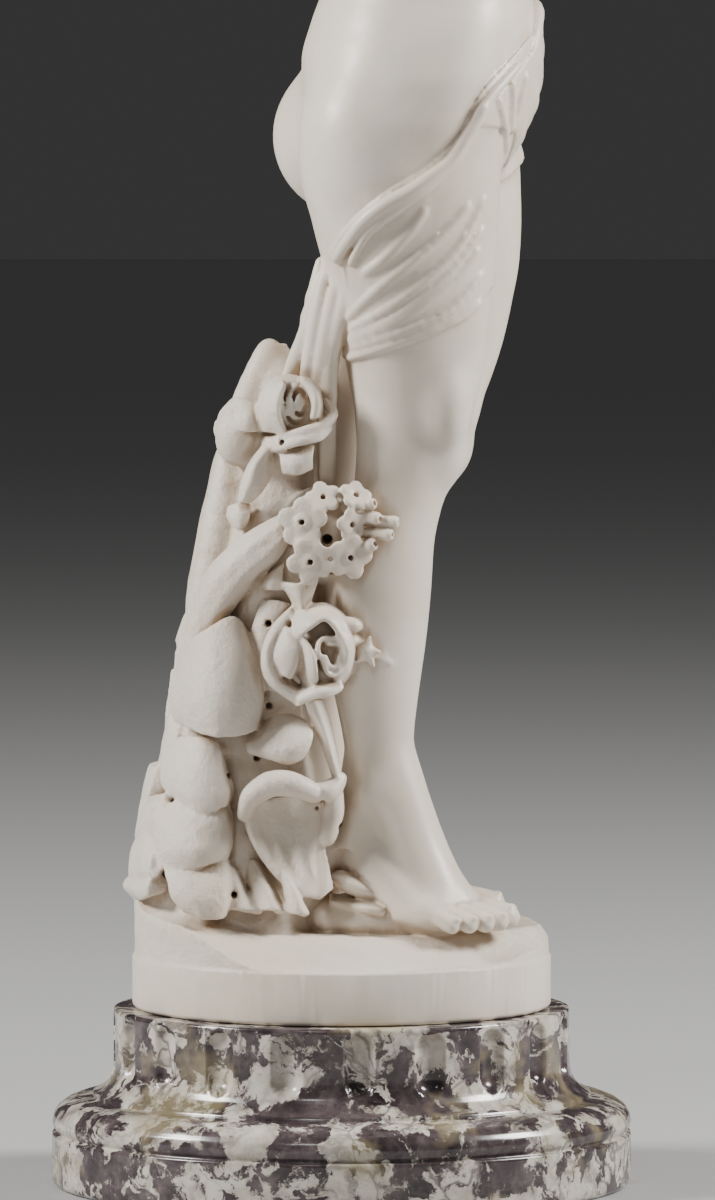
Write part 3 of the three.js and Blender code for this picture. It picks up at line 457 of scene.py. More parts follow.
def body():
    column(NEAR_LEG)
    column(FAR_LEG, 2)
    column(TORSO, 9)
    # buttocks, then the fold under each
    ball((13, -40, 522), (33, 37, 42), k=12)
    ball((4, 38, 525), (38.5, 37, 40), k=12)
    # belly, navel and the hollow of the waist's front
    ball((62, 0, 560), (33, 44, 40), k=16)
    ball((92, 0, 618), (6, 3.2, 4.2), k=3, cutting=True)
    # chest
    for side in (-1, 1):
        ball((60, side * 31, 715), (29, 33, 40), (0, 0, side * 8), k=16)
        ball((78, side * 34, 699), (23.5, 25.5, 24), (0, 0, side * 10), k=10)
        ball((102, side * 38, 697), (3.6, 4.2, 4.2), k=2)
        # shoulder, collarbone and shoulder blade
        ball((28, side * 74, 741), (22, 20, 23), k=12)
        collarbone = ((62, 8, 759, 3.5), (58, 34, 763, 3.2), (40, 68, 760, 3.5))
        limb([(cx, side * cy, cz, r, r) for cx, cy, cz, r in collarbone], k=8)
        ball((-9, side * 37, 715), (9, 20, 29), (0, 0, side * -14), k=12)
        limb([(33, side * 8, 792, 13, 13), (30, side * 30, 768, 15, 14), (28, side * 66, 752, 16, 15)], k=14)
    limb([(27, 0, 748, 31, 30), (33, -1, 779, 24, 25), (44, -3, 815, 22.5, 23.5)], up=(1, 0, 0), k=14)
    # the furrow of the back
    furrow = [(-14, 0, 560, 3, 3), (-8, 0, 620, 4, 4), (-16, 0, 690, 3.5, 3.5), (-15, 0, 745, 2, 2)]
    limb(furrow, k=8, cutting=True)
    knees_and_ankles()


def knees_and_ankles():
    # near knee: cap, tendon below it and the bulge of the thigh muscle above
    ball((49, -36, 368), (12, 14, 15), k=8)
    ball((52, -50, 392), (11, 12, 19), k=10)
    ball((50, -22, 388), (12, 11, 17), k=10)
    ball((53, 27, 369), (12, 14, 15), k=8)
    ball((57, 14, 392), (11, 11, 18), k=10)
    # ankle bones and the tendon of each heel
    ball((15, -48.5, 199), (6, 4.5, 7), k=6)
    ball((22, -24, 203), (6.5, 4.5, 8), k=6)
    ball((4, 11, 192), (6, 4.5, 7), k=6)
    ball((6, 36, 186), (6.5, 4.5, 7.5), k=6)


NEAR_ARM = [(29, -73, 738), (88, -92, 642), (90, -26, 712)]
FAR_ARM = [(28, 73, 738), (-6, 104, 617), (56, 84, 586)]


def arm(joints):
    shoulder, elbow, wrist = (np.array(p, float) for p in joints)
    upper = [(0, 22, 22.5), (0.25, 22.5, 22.5), (0.6, 19.5, 21), (0.88, 16.5, 16), (1, 16, 15.5)]
    lower = [(0, 15.5, 15.5), (0.22, 18, 17.5), (0.5, 16, 15.5), (0.85, 12, 10.5), (1.05, 12, 9)]
    for a, b, rows in ((shoulder, elbow, upper), (elbow, wrist, lower)):
        limb([(*(a + (b - a) * t), w, d) for t, w, d in rows], up=(1, 0, 0.3), k=6)
    ball(elbow + (elbow - (shoulder + wrist) / 2) * 0.08, (12, 12, 13), k=8)


def hand(wrist, along, out, curl, thumb_side, spread=1.0):
    a = np.array(along, float)
    a /= np.linalg.norm(a)
    o = np.array(out, float) - np.dot(out, a) * a
    o /= np.linalg.norm(o)
    side = np.cross(a, o) * thumb_side
    wrist = np.array(wrist, float)

    def at(f, s, h, r, deep=None):
        return (*(wrist + a * f + side * s + o * h), r, deep or r)

    limb([at(-4, 0, 0, 12, 9), at(12, 0, 0.5, 15, 8), at(38, 0, 0, 18.5, 6.5)], up=o, k=5)
    for s, length in ((12.5, 33), (4.3, 37), (-4.2, 35), (-12.3, 28)):
        fan = s * spread
        limb(
            [
                at(33, s, 0.5, 4.9),
                at(38 + length * 0.3, s + fan * 0.06, 0.3 - length * curl * 0.08, 4.6),
                at(38 + length * 0.66, s + fan * 0.13, -length * curl * 0.45, 4.2),
                at(38 + length * 0.95, s + fan * 0.18, -length * curl, 3.4),
            ],
            up=o,
            k=1.2,
        )
        ball(at(38 + length * 0.32, s + fan * 0.06, 1.6, 1)[:3], (4.2, 4.2, 4.2), k=2)
    limb([at(4, 10, -3, 7.5), at(18, 19, -4, 6.4), at(30, 24, -5, 5.2), at(44, 26, -7, 4)], up=o, k=2.5)


def foot(ankle, turn_out, lift, outer, length):
    """A foot heading turn_out degrees below +X; outer is -1 where the little toe is on the near side."""
    heading = np.array([math.cos(math.radians(turn_out)), -math.sin(math.radians(turn_out)), 0])
    lateral = np.array([-heading[1], heading[0], 0]) * outer

    def sole(f):
        return lift * float(ease((0.42 - f) / 0.62))

    def at(f, s, h, r, deep=None):
        return (*(np.array([*ankle, SOLE + h]) + heading * f * length + lateral * s), r, deep or r)

    # heel, outer edge and ball
    limb([at(-0.16, 0, 14 + sole(-0.16), 12, 13), at(0, 1.5, 14 + sole(0), 14, 13),
          at(0.16, 4, 13 + sole(0.16), 13, 12), at(0.36, 5, 10 + sole(0.36), 14, 9),
          at(0.52, 5, 8.5, 14, 7.5)], k=6)
    limb([at(0.1, -3, 26 + sole(0.1), 13, 15), at(0.3, -6, 17 + sole(0.3), 13, 12),
          at(0.47, -9, 11.5, 12, 9), at(0.58, -11, 9, 10.5, 8)], k=6)
    # instep down from the shin
    limb([at(0.02, -1, 58 + lift, 13, 13), at(0.14, -2, 40 + 0.85 * lift, 13, 12),
          at(0.3, -4, 25 + 0.45 * lift, 13, 10), at(0.5, -5, 13, 14, 8)], up=heading, k=8)
    # heel tendon
    tendon = [at(-0.13, 0, 62 + lift, 5, 6), at(-0.2, 0, 40 + 0.9 * lift, 6, 6), at(-0.2, 0, 20 + lift, 8, 8)]
    limb(tendon, up=heading, k=7)
    toes = ((-13.5, 0.9, 6.8), (-4.2, 0.9, 5.0), (3.6, 0.85, 4.7), (10.9, 0.78, 4.4), (17.2, 0.69, 4.1))
    for i, (s, reach, r) in enumerate(toes):
        knuckle = at(reach - 0.16, s, r + (4.6 if i else 2.2), r * (0.92 if i else 1))
        tip = at(reach, s * 1.02, r - 0.3, r * 1.02, r * 0.92)
        limb([at(reach - 0.42, s * 0.92, r + 4.2, r * 1.1, r), knuckle, tip], k=1.6, steps=6)
        nail = at(reach + 0.035, s * 1.02, r + r * 0.72, 1)[:3]
        ball(nail, (2.2, r * 0.55, 1.6), (0, 25, -turn_out), k=0.8)


# ---------------------------------------------------------------- head and hair
HEAD_AT = np.array([56.0, -4.0, 849.0])
HEAD_TURN = turned((0, 12, -18))


def on_head(x, y, z):
    return HEAD_TURN @ np.array([x, y, z], float) + HEAD_AT


def head_ball(x, y, z, radii, turn=(0, 0, 0), k=4.0, cutting=False):
    ball(on_head(x, y, z), radii, HEAD_TURN @ turned(turn), k, cutting)


def head_limb(stops, k=3.0, up=(0, 0, 1), cutting=False):
    limb([(*on_head(*s[:3]), s[3], s[-1]) for s in stops], HEAD_TURN @ np.array(up, float), k, None, cutting)


def head():
    head_ball(-5, 0, 12, (42, 34.5, 39), k=4)
    head_ball(9, 0, -8, (30.5, 30, 38), k=10)
    head_ball(17, 0, -27, (22.5, 22, 22), k=10)
    head_ball(27, 0, -42, (10.5, 11, 8), k=8)
    for side in (-1, 1):
        head_ball(-2, side * 20, -26, (22, 10, 15), (0, -20, 0), k=10)
        head_ball(26, side * 17, -11, (11, 11, 11), k=9)
        # eye: socket, ball, upper and lower lid, brow
        head_ball(40.5, side * 13.5, 3.5, (7, 8.5, 6), k=5, cutting=True)
        head_ball(31.2, side * 13.6, 2.6, (6.8, 7.4, 6.6), k=1.2)
        head_limb([(36.2, side * 6.6, 2.6, 1.1), (38.4, side * 12, 6.2, 1.25), (36.6, side * 17.5, 5.2, 1.2),
                   (33.2, side * 21, 2.0, 1.0)], k=1.2)
        head_limb([(36.2, side * 6.8, 2.0, 0.9), (37.2, side * 12.5, -1.6, 1.0), (35.4, side * 18, -0.8, 0.9),
                   (33.4, side * 20.6, 1.6, 0.8)], k=1.2)
        brow = [(39.6, side * 5, 9.5, 2.2), (38.6, side * 13, 13.4, 2.2), (32.5, side * 22, 10.5, 1.8)]
        head_limb(brow, k=6)
        # nostril wing and ear
        head_ball(40.6, side * 4.8, -11.6, (4.2, 2.7, 3.2), k=2)
        head_ball(-2, side * 34.5, -6, (7.5, 2.6, 11), (0, -12, side * 16), k=2)
        head_ball(0.5, side * 37.2, -4.5, (4.6, 2.2, 7.2), (0, -12, side * 16), k=1.5, cutting=True)
    head_limb([(37, 0, 12, 3.6), (41.5, 0, 3, 3.4), (45.4, 0, -8, 3.7), (45.6, 0, -11.2, 3.9)], k=4)
    for side in (-1, 1):
        head_ball(42.6, side * 2.9, -14.6, (2.2, 1.3, 1.2), k=0.8, cutting=True)
    # mouth
    head_ball(37.5, 0, -24, (6, 12, 8), k=6)
    head_limb([(38.6, -9.5, -23.2, 0.9), (42.3, -4, -21.3, 1.9), (42.9, 0, -21.9, 1.7), (42.3, 4, -21.3, 1.9),
               (38.6, 9.5, -23.2, 0.9)], k=1.2)
    head_limb([(38.4, -8.6, -24.2, 0.9), (41.6, -4, -26.4, 2.1), (42.2, 0, -26.8, 2.3), (41.6, 4, -26.4, 2.1),
               (38.4, 8.6, -24.2, 0.9)], k=1.2)
    head_limb([(39.5, -9.5, -23.6, 0.7), (44.2, 0, -24.0, 0.7), (39.5, 9.5, -23.6, 0.7)], k=0.7, cutting=True)
    head_ball(42.5, 0, -33.5, (3.5, 8, 2.6), k=4, cutting=True)


def hair():
    """Wavy hair parted in the middle and drawn back over the ears into a knot."""
    reach = 62
    cut, x, y, z = window(HEAD_AT - reach, HEAD_AT + reach, 0)
    p = [x - HEAD_AT[0], y - HEAD_AT[1], z - HEAD_AT[2]]
    q = [p[0] * HEAD_TURN[0, i] + p[1] * HEAD_TURN[1, i] + p[2] * HEAD_TURN[2, i] for i in range(3)]
    f = np.sqrt(((q[0] + 8) / 43) ** 2 + (q[1] / 38.5) ** 2 + ((q[2] - 8) / 44.5) ** 2) + 1e-4
    d = np.sqrt((q[0] + 8) ** 2 + q[1] ** 2 + (q[2] - 8) ** 2) * (1 - 1 / f)
    flow = np.arctan2(np.abs(q[1]), q[2] + 22)
    back = (q[0] + 8) / 44
    lock = 23 * flow + 1.6 * np.sin(3.6 * back + 5 * flow) + 2.2 * back
    strand = 1.5 * np.abs(np.sin(lock)) ** 0.7 + 0.5 * np.sin(3 * lock + 4 * back)
    part = 2.4 * np.exp(-((q[1] / 2.2) ** 2)) * (q[0] > -30)
    d = d - strand + part
    # the hairline: forehead, temples and nape
    keep = np.maximum(q[0] - np.minimum(30, 20 + 0.55 * (q[2] - 6)), -30 - q[2] - 0.25 * (q[0] + 8))
    join(cut, np.maximum(d, keep * 0.8), 1.0)
    for side in (-1, 1):
        for lift, out, r in ((0, 0, 5.2), (5, 1.5, 5.0), (10, 1.5, 4.6)):
            head_limb(
                [
                    (33 - lift * 0.55, side * (1.5 + lift * 0.1), 37 + lift * 0.75, r * 0.8),
                    (32 - lift * 0.7, side * (13 - lift * 0.2), 33 + lift * 0.9, r),
                    (25 - lift * 0.5, side * (24 - lift * 0.1), 22 + lift * 1.1, r * 1.05),
                    (15 - lift * 0.4, side * (32 + out), 9 + lift * 1.2, r * 1.1),
                    (2, side * (36.5 + out), 1 + lift * 1.2, r * 1.1),
                    (-13, side * (37 + out), -3 + lift * 1.0, r),
                    (-30, side * (30 + out), -7 + lift * 0.9, r * 0.95),
                    (-48, side * 14, -9 + lift * 0.6, r * 0.9),
                ],
                k=1.4,
            )
    knot = []
    for turn in range(3):
        for step in range(8):
            a = 2 * math.pi * (step / 8 + turn * 0.5)
            r = 14 - 4.6 * turn
            knot.append((-56 - 3.2 * turn, r * math.cos(a), -9 + r * math.sin(a)))
    head_ball(-54, 0, -9, (13, 16.5, 16.5), k=3)
    head_limb([(*p, 5.0) for p in knot], k=1.2, up=(1, 0, 0))


# ---------------------------------------------------------------- cloth
# Lines over the near thigh, as (x, z): the strands of the rolled edge, the hem and the folds between them.
EDGE = [(-10, 460), (-6, 469), (2, 480), (12, 490), (24, 499), (39, 508), (50, 517), (58, 526), (63, 536),
        (70, 548), (80, 559), (88, 568)]
EDGE_MIDDLE = [(-2, 465), (4, 474), (12, 484), (23, 492), (34, 498), (44, 505), (54, 513), (60, 522),
               (66, 532), (72, 543), (80, 552), (87, 560)]
EDGE_LOWER = [(5, 463), (9, 471), (13, 478), (21, 485), (31, 492), (41, 499), (50, 507), (58, 515), (64, 526),
              (69, 535), (74, 544)]
HEM = [(-20, 410), (4, 416), (14, 419), (29, 424), (41, 428), (52, 432.5), (61, 437), (68, 443), (74, 450)]
FOLDS = [
    [(12, 458), (19, 463), (26, 470), (35, 480), (41, 489)],
    [(4, 436), (16, 448), (34, 463), (53, 480), (62, 491)],
    [(5, 430), (24, 441), (41, 454), (57, 470), (70, 494)],
    [(5, 426), (23, 434), (38, 445), (53, 458), (69, 479)],
    [(5, 424), (26, 433), (42, 444), (59, 458), (67, 469)],
    [(6, 421), (29, 429), (53, 440), (69, 457)],
]
BELLY_FOLDS = [
    [(77, 543), (80, 530), (81, 518)],
    [(91, 555), (88, 543), (84, 528)],
    [(84, 551), (84, 540), (83, 528)],
]


def on_skin(x, z, proud):
    """Where the carved skin is first met from the near side, stood off by `proud`."""
    y = AXES[1][AXES[1] < 0]
    line = sample(FIELD, np.stack([np.full(len(y), x), y, np.full(len(y), z)], 1))
    j = int(np.argmax(line < 0))
    return x, float(y[j] - VOXEL * line[j] / (line[j] - line[j - 1])) - proud, z


def ridges(kinds, k):
    """Ridges laid on the skin: each a line of (x, z), its radii along it and how far it stands off."""
    laid = []
    for line, radii, proud in kinds:
        at = path([(x, z, 0, 0) for x, z in line], 5 * (len(line) - 1))[:, :2]
        sizes = np.interp(np.linspace(0, 1, len(at)), np.linspace(0, 1, len(radii)), radii)
        laid.append([(*on_skin(x, z, proud * r), r, r) for (x, z), r in zip(at, sizes)])
    for points in laid:
        limb(points, up=(0, 1, 0), k=k, steps=len(points) - 1)


def thigh_cloth():
    """Thin cloth drawn over the near thigh, its folds fanning out from the back lower corner."""
    cut, x, y, z = window((-28, -92, 404), (92, -10, 575))
    hem = through(*zip(*HEM), x)
    top = through(*zip(*EDGE, (94, 575)), x)
    sheet = np.maximum(FIELD[cut] - 1.3, np.maximum((hem - z) * 0.8, (z - top) * 0.7))
    join(cut, np.maximum(sheet, np.maximum(y + 16, -14 - x)), 0.8)


def belly_cloth():
    """The cloth's front, tucked between the thighs under the roll."""
    cut, x, y, z = window((30, -60, 500), (104, 80, 602))
    cx, cy, _, _ = TORSO.edges(z)
    heading = np.degrees(np.arctan2(y - cy, x - cx))
    top = through((-60, -36, -17, 2, 30, 62), (540, 562, 578, 588, 592, 588), heading)
    low = through((-60, -36, -12, 8, 26, 50, 80), (530, 528, 506, 500, 508, 528, 545), heading)
    fold = 1.2 * np.abs(np.sin((z - 560 + 0.55 * heading) * 0.17)) ** 1.5 * ease((heading + 40) / 25)
    sheet = np.maximum(FIELD[cut] - 1.3 - fold, np.maximum((low - z) * 0.7, (z - top) * 0.8))
    join(cut, sheet, 1.2)


def rolled_edge():
    """Three strands of gathered cloth round the hips; over the belly they run as one roll."""
    fine = [(line, (1.9, 2.5, 2.8, 2.5, 2.0), -0.5) for line in FOLDS]
    fine += [(line, (2.0, 2.4, 2.0), -0.55) for line in BELLY_FOLDS]
    ridges(fine + [(HEM[1:-1], (1.9, 1.9, 1.9), -0.4)], 1.5)
    ridges(
        [
            (EDGE_LOWER, (2.0, 2.6, 2.4, 2.0, 1.4), 0.2),
            (EDGE_MIDDLE, (3.0, 3.4, 3.2, 2.8, 2.0), 0.4),
            (EDGE, (4.4, 4.8, 4.6, 4.2, 3.6, 3.0), 0.5),
        ],
        0.8,
    )
    front = [(572, -26), (584, -17), (592, 0), (594, 30), (588, 62)]
    limb([(*TORSO.point(height - 4, heading, 2.0), 3.6, 3.6) for height, heading in front], k=1.2, steps=24)


def falling_folds():
    falls = [
        [(-10, -44, 463), (-12, -45, 452), (-14, -45, 440), (-17, -42, 427), (-22, -36, 415),
         (-26, -30, 404)],
        [(-4, -48, 466), (-8, -49, 454), (-11, -49, 438), (-13, -46, 425), (-16, -40, 408), (-17, -34, 392)],
        [(3, -53, 468), (-1, -54, 456), (-4, -53, 441), (-7, -50, 427), (-10, -44, 410), (-12, -36, 392)],
        [(8, -57, 468), (5, -58, 456), (2, -56, 442), (-2, -52, 428), (-6, -45, 408), (-7, -36, 350)],
    ]
    for line in falls:
        radii = (2.6, 3.6, 4.3, 4.6, 4.4, 4.0)
        limb([(*p, r, r * 0.9) for p, r in zip(line, radii)], up=(0, 1, 0), k=0.8, steps=25)
    ball((-16, -32, 427), (4.5, 8, 5), k=2)
    ball((-16, -24, 398), (15, 12, 17), k=3)
    back = [
        [(-36, -4, 418), (-46, -12, 395), (-53, -16, 368), (-60, -24, 330), (-66, -26, 290)],
        [(-38, 8, 410), (-49, 10, 380), (-56, 10, 350), (-64, 8, 300), (-72, 8, 250)],
        [(-30, 24, 400), (-44, 34, 370), (-52, 38, 330), (-60, 40, 280), (-62, 44, 240)],
        [(-10, 30, 450), (-18, 38, 410), (-24, 42, 360), (-30, 44, 300), (-30, 48, 240)],
    ]
    for line in back:
        limb([(*p, 6 + i, 6 + i) for i, p in enumerate(line)], up=(1, 0, 0), k=3, steps=16)


# ---------------------------------------------------------------- trunk
TRUNK = Column(
    [
        [-6, -102, 0, -62, 62],
        [24, -101, -4, -54, 60],
        [60, -90, -10, -46, 54],
        [105, -83, -18, -42, 48],
        [140, -80, -20, -40, 46],
        [165, -78, -18, -38, 44],
        [215, -68, -12, -32, 42],
        [245, -59, -10, -28, 38],
        [270, -48, -14, -20, 28],
        [288, -41, -28, -9, 8],
    ],
    roundness=2.2,
)
WEB = Column(
    [
        [-6, -40, 10, -26, 30],
        [60, -40, 8, -18, 26],
        [130, -40, 6, -12, 24],
        [220, -34, 14, -12, 22],
        [270, -26, 16, -12, 20],
        [318, -6, 20, -8, 14],
    ]
)


def trunk():
    low, high = TRUNK.box()
    cut, x, y, z = window(low, high)
    bark = 1.4 * waves(x, y, z * 0.35, 21, 5.0) + 0.7 * waves(x, y, z * 0.5, 22, 2.6)
    join(cut, TRUNK.distance(x, y, z) - bark, 2)
    column(WEB, 3)
    cut, x, y, z = window((-20, -64, 120), (56, -12, 156))
    rock = ball_distance(x, y, z, (18, -40, 136), (35, 20, 15), (0, 0, 0)) - 0.9 * waves(x, y, z, 31, 4.0)
    join(cut, rock, 2)


def scale(plates, middle, face, wide, tall, lean=0.2, thick=4.0, seed=0):
    """A bark scale of the hidden side: a bulging tongue that laps over the one below."""
    out = np.array([math.cos(math.radians(face)), math.sin(math.radians(face)), 0])
    side = np.array([-out[1], out[0], 0])

    def shape(u, v):
        s = 2 * u - 1
        half = wide / 2 * (1.02 - 0.2 * v * v)
        drop = tall * v * (1 - 0.28 * s**4 - 0.1 * s * s) + 0.8 * np.sin(7 * u + seed) * v
        swell = thick * np.sin(math.pi * np.clip(v * 0.8, 0, 1)) * (1 - 0.5 * s * s)
        swell = swell + 0.5 * np.sin(s * 5 + seed) * np.sin(v * 4 + seed)
        p = np.array(middle, float) + side * (s * half)[..., None]
        p = p + out * (-lean * tall * (1 - v) - 0.22 * wide * s * s + 0.5 * swell)[..., None]
        return p + np.array([0, 0, 1.0]) * (tall - drop)[..., None]

    plates.sheet(shape, 2.0 + 0.4 * thick, 10, 16, 16)


HIDDEN_SCALES = [
    dict(middle=(-82, -2, 205), face=180, wide=38, tall=40, lean=0.2, thick=2),
    dict(middle=(-94, 14, 168), face=168, wide=40, tall=42, lean=0.2, thick=2),
    dict(middle=(-72, 44, 210), face=128, wide=40, tall=46, lean=0.2),
    dict(middle=(-78, 50, 160), face=132, wide=44, tall=48, lean=0.15),
]


# ---------------------------------------------------------------- flowers and leaves
# share of a lobe's length and height above its plane, from the eye over the rim to the underside
PETAL_SECTION = (
    (0.17, 1.0), (0.3, 1.1), (0.55, 1.25), (0.85, 0.9), (1.0, 0.0), (0.97, -1.2), (0.6, -0.9), (0.2, -1.6)
)


def star_flower(plates, centre, facing, radius, spin=0.0):
    """Five rounded lobes round a drilled eye."""
    place = facing_frame(centre, facing, spin)
    n = 50
    a = np.linspace(0, 2 * math.pi, n, endpoint=False)
    edge = radius * (0.70 + 0.34 * np.abs(np.cos(2.5 * a)) ** 0.8)
    rings = []
    for t, h in PETAL_SECTION:
        r = edge * t if t > 0.2 else np.full(n, radius * t)
        cup = 0.10 * radius * t * t + 0.25 * np.cos(5 * a) * t
        rings.append(place(np.stack([r * np.cos(a), r * np.sin(a), h * 1.15 + cup], -1)))
    plates.ring(rings)


# Each form below is a grid of points (x, y, z) over its face, row by row from one edge to the other.
BAND = [
    [(-29, -54, 338), (-41, -52, 332), (-54, -48, 323), (-66, -42, 310), (-75, -32, 292), (-82, -22, 274)],
    [(-28, -61, 335), (-39, -60, 328), (-51, -57, 318), (-64, -51, 304), (-73, -41, 286), (-80, -30, 267)],
    [(-27, -62, 332), (-37, -61, 324), (-49, -58, 313), (-61, -53, 299), (-71, -44, 281), (-78, -34, 264)],
    [(-27, -62, 328), (-35, -61, 319), (-46, -58, 309), (-58, -53, 294), (-67, -45, 277), (-75, -37, 261)],
    [(-27, -54, 324), (-34, -52, 314), (-44, -48, 304), (-56, -43, 288), (-65, -40, 272), (-72, -34, 258)],
]
# near side of the trunk, from the top down, then the three at its left edge
SCALES = [
    [
        [(-82, -26, 269), (-84, -26, 255), (-85, -28, 241), (-82, -34, 234)],
        [(-75, -44, 275), (-76, -49, 260), (-77, -52, 244), (-75, -50, 232)],
        [(-66, -54, 282), (-65, -62, 266), (-65, -66, 247), (-64, -63, 229)],
        [(-54, -54, 288), (-52, -63, 269), (-52, -67, 247), (-52, -64, 229)],
        [(-47, -48, 281), (-42, -55, 266), (-41, -58, 247), (-43, -57, 231)],
        [(-45, -38, 274), (-40, -42, 262), (-39, -44, 246), (-40, -44, 234)],
    ],
    [
        [(-85, -30, 224), (-90, -30, 213), (-89, -34, 203), (-84, -42, 197)],
        [(-78, -46, 228), (-80, -51, 214), (-80, -52, 202), (-77, -52, 194)],
        [(-69, -54, 228), (-68, -61, 214), (-68, -62, 200), (-68, -59, 191)],
        [(-63, -54, 226), (-60, -59, 212), (-57, -62, 201), (-58, -60, 194)],
        [(-61, -44, 222), (-57, -48, 212), (-54, -50, 202), (-55, -51, 196)],
    ],
    [
        [(-87, -40, 195), (-92, -43, 184), (-93, -44, 172), (-91, -48, 164)],
        [(-80, -50, 195), (-83, -55, 183), (-84, -58, 172), (-82, -57, 163)],
        [(-68, -56, 193), (-70, -63, 182), (-70, -67, 173), (-70, -64, 164)],
        [(-58, -55, 195), (-58, -60, 183), (-58, -63, 173), (-60, -61, 167)],
        [(-56, -46, 196), (-54, -49, 184), (-54, -51, 175), (-56, -52, 169)],
    ],
    [
        [(-88, -52, 164), (-86, -58, 156), (-84, -62, 149), (-78, -64, 142)],
        [(-75, -58, 165), (-75, -66, 156), (-72, -70, 147), (-68, -69, 139)],
        [(-59, -56, 168), (-58, -63, 159), (-58, -67, 149), (-59, -67, 139)],
        [(-56, -48, 166), (-55, -53, 158), (-56, -58, 149), (-57, -60, 142)],
    ],
    [
        [(-95, -14, 195), (-100, -12, 185), (-101, -14, 176)],
        [(-91, -32, 198), (-95, -35, 188), (-94, -37, 177)],
        [(-87, -42, 199), (-89, -46, 187), (-90, -49, 174)],
    ],
    [
        [(-100, -4, 177), (-105, -2, 167), (-106, -4, 157), (-105, -6, 151)],
        [(-96, -28, 179), (-99, -33, 170), (-100, -36, 160), (-97, -38, 154)],
        [(-91, -43, 176), (-93, -49, 168), (-94, -52, 162), (-91, -54, 159)],
    ],
    [
        [(-106, 2, 154), (-109, 4, 149), (-104, 2, 143)],
        [(-99, -28, 157), (-102, -32, 151), (-100, -32, 145)],
        [(-92, -48, 161), (-95, -52, 154), (-95, -52, 149)],
    ],
]
# from the outermost left petal round to the one below
OPEN_ROSE = [
    [
        [(-24, -57, 293), (-34, -61, 283), (-39, -63, 269), (-36, -63, 256), (-21, -64, 244)],
        [(-24, -61, 290), (-32, -65, 280), (-36, -67, 269), (-32, -67, 257), (-20, -65, 248)],
        [(-21, -52, 284), (-27, -54, 276), (-30, -55, 267), (-27, -56, 259), (-19, -56, 252)],
    ],
    [
        [(-27, -60, 284), (-32, -62, 277), (-36, -62, 268), (-30, -62, 259)],
        [(-26, -66, 283), (-28, -69, 276), (-29, -70, 268), (-28, -67, 259)],
        [(-26, -65, 282), (-22, -70, 276), (-22, -71, 267), (-26, -68, 258)],
        [(-25, -58, 279), (-22, -60, 274), (-21, -60, 266), (-25, -60, 258)],
    ],
    [
        [(-19, -71, 279), (-14, -75, 272), (-12, -75, 264), (-11, -71, 257)],
        [(-21, -66, 277), (-18, -70, 269), (-16, -70, 261), (-15, -66, 254)],
        [(-22, -58, 274), (-21, -60, 267), (-20, -60, 259), (-18, -58, 252)],
    ],
    [
        [(-22, -70, 277), (-15, -74, 283), (-8, -74, 287), (-2, -73, 280), (1, -70, 271)],
        [(-24, -67, 283), (-17, -69, 288), (-7, -68, 291), (2, -66, 283), (5, -64, 272)],
        [(-25, -58, 289), (-18, -58, 293), (-7, -56, 294), (4, -55, 286), (7, -54, 272)],
    ],
    [
        [(-1, -72, 277), (2, -72, 271), (0, -70, 263), (-4, -68, 258)],
        [(3, -68, 280), (5, -67, 271), (3, -66, 262), (-2, -65, 256)],
        [(4, -58, 281), (7, -56, 270), (4, -56, 260), (-1, -57, 254)],
    ],
    [
        [(-22, -65, 244), (-13, -71, 248), (-6, -72, 249), (1, -68, 253), (-3, -65, 259)],
        [(-21, -67, 248), (-13, -71, 252), (-7, -71, 253), (-2, -67, 255), (-4, -64, 260)],
        [(-19, -57, 254), (-13, -59, 257), (-8, -59, 257), (-4, -58, 258), (-5, -56, 262)],
    ],
]
# left and right outer petals, then the one turned down in front
HALF_OPEN_ROSE = [
    [
        [(-29, -50, 405), (-38, -46, 398), (-42, -42, 389), (-42, -40, 379)],
        [(-28, -60, 404), (-34, -59, 397), (-38, -57, 389), (-36, -55, 379)],
        [(-27, -62, 402), (-30, -65, 395), (-30, -65, 387), (-26, -62, 378)],
    ],
    [
        [(-21, -52, 406), (-13, -54, 403), (-10, -55, 394), (-10, -54, 386)],
        [(-20, -60, 405), (-14, -63, 401), (-12, -65, 394), (-13, -64, 386)],
        [(-19, -58, 402), (-16, -60, 398), (-14, -61, 392), (-15, -61, 385)],
    ],
    [
        [(-40, -44, 378), (-33, -55, 376), (-24, -61, 377), (-15, -60, 382), (-9, -52, 389)],
        [(-39, -48, 373), (-31, -60, 373), (-22, -66, 375), (-12, -64, 379), (-6, -56, 385)],
        [(-37, -48, 368), (-29, -61, 370), (-20, -66, 373), (-10, -64, 375), (-5, -56, 380)],
    ],
]
# the front petal with its collar and the edge of the one behind
BUD = [
    [
        [(-55, -28, 393), (-52, -36, 396), (-46, -42, 394), (-40, -44, 391)],
        [(-60, -30, 388), (-53, -44, 388), (-46, -50, 388), (-40, -48, 386)],
        [(-62, -30, 382), (-54, -47, 380), (-46, -52, 379), (-40, -48, 379)],
    ],
    [
        [(-62, -24, 384), (-63, -24, 379), (-61, -26, 374)],
        [(-57, -38, 385), (-58, -40, 379), (-57, -40, 373)],
    ],
]
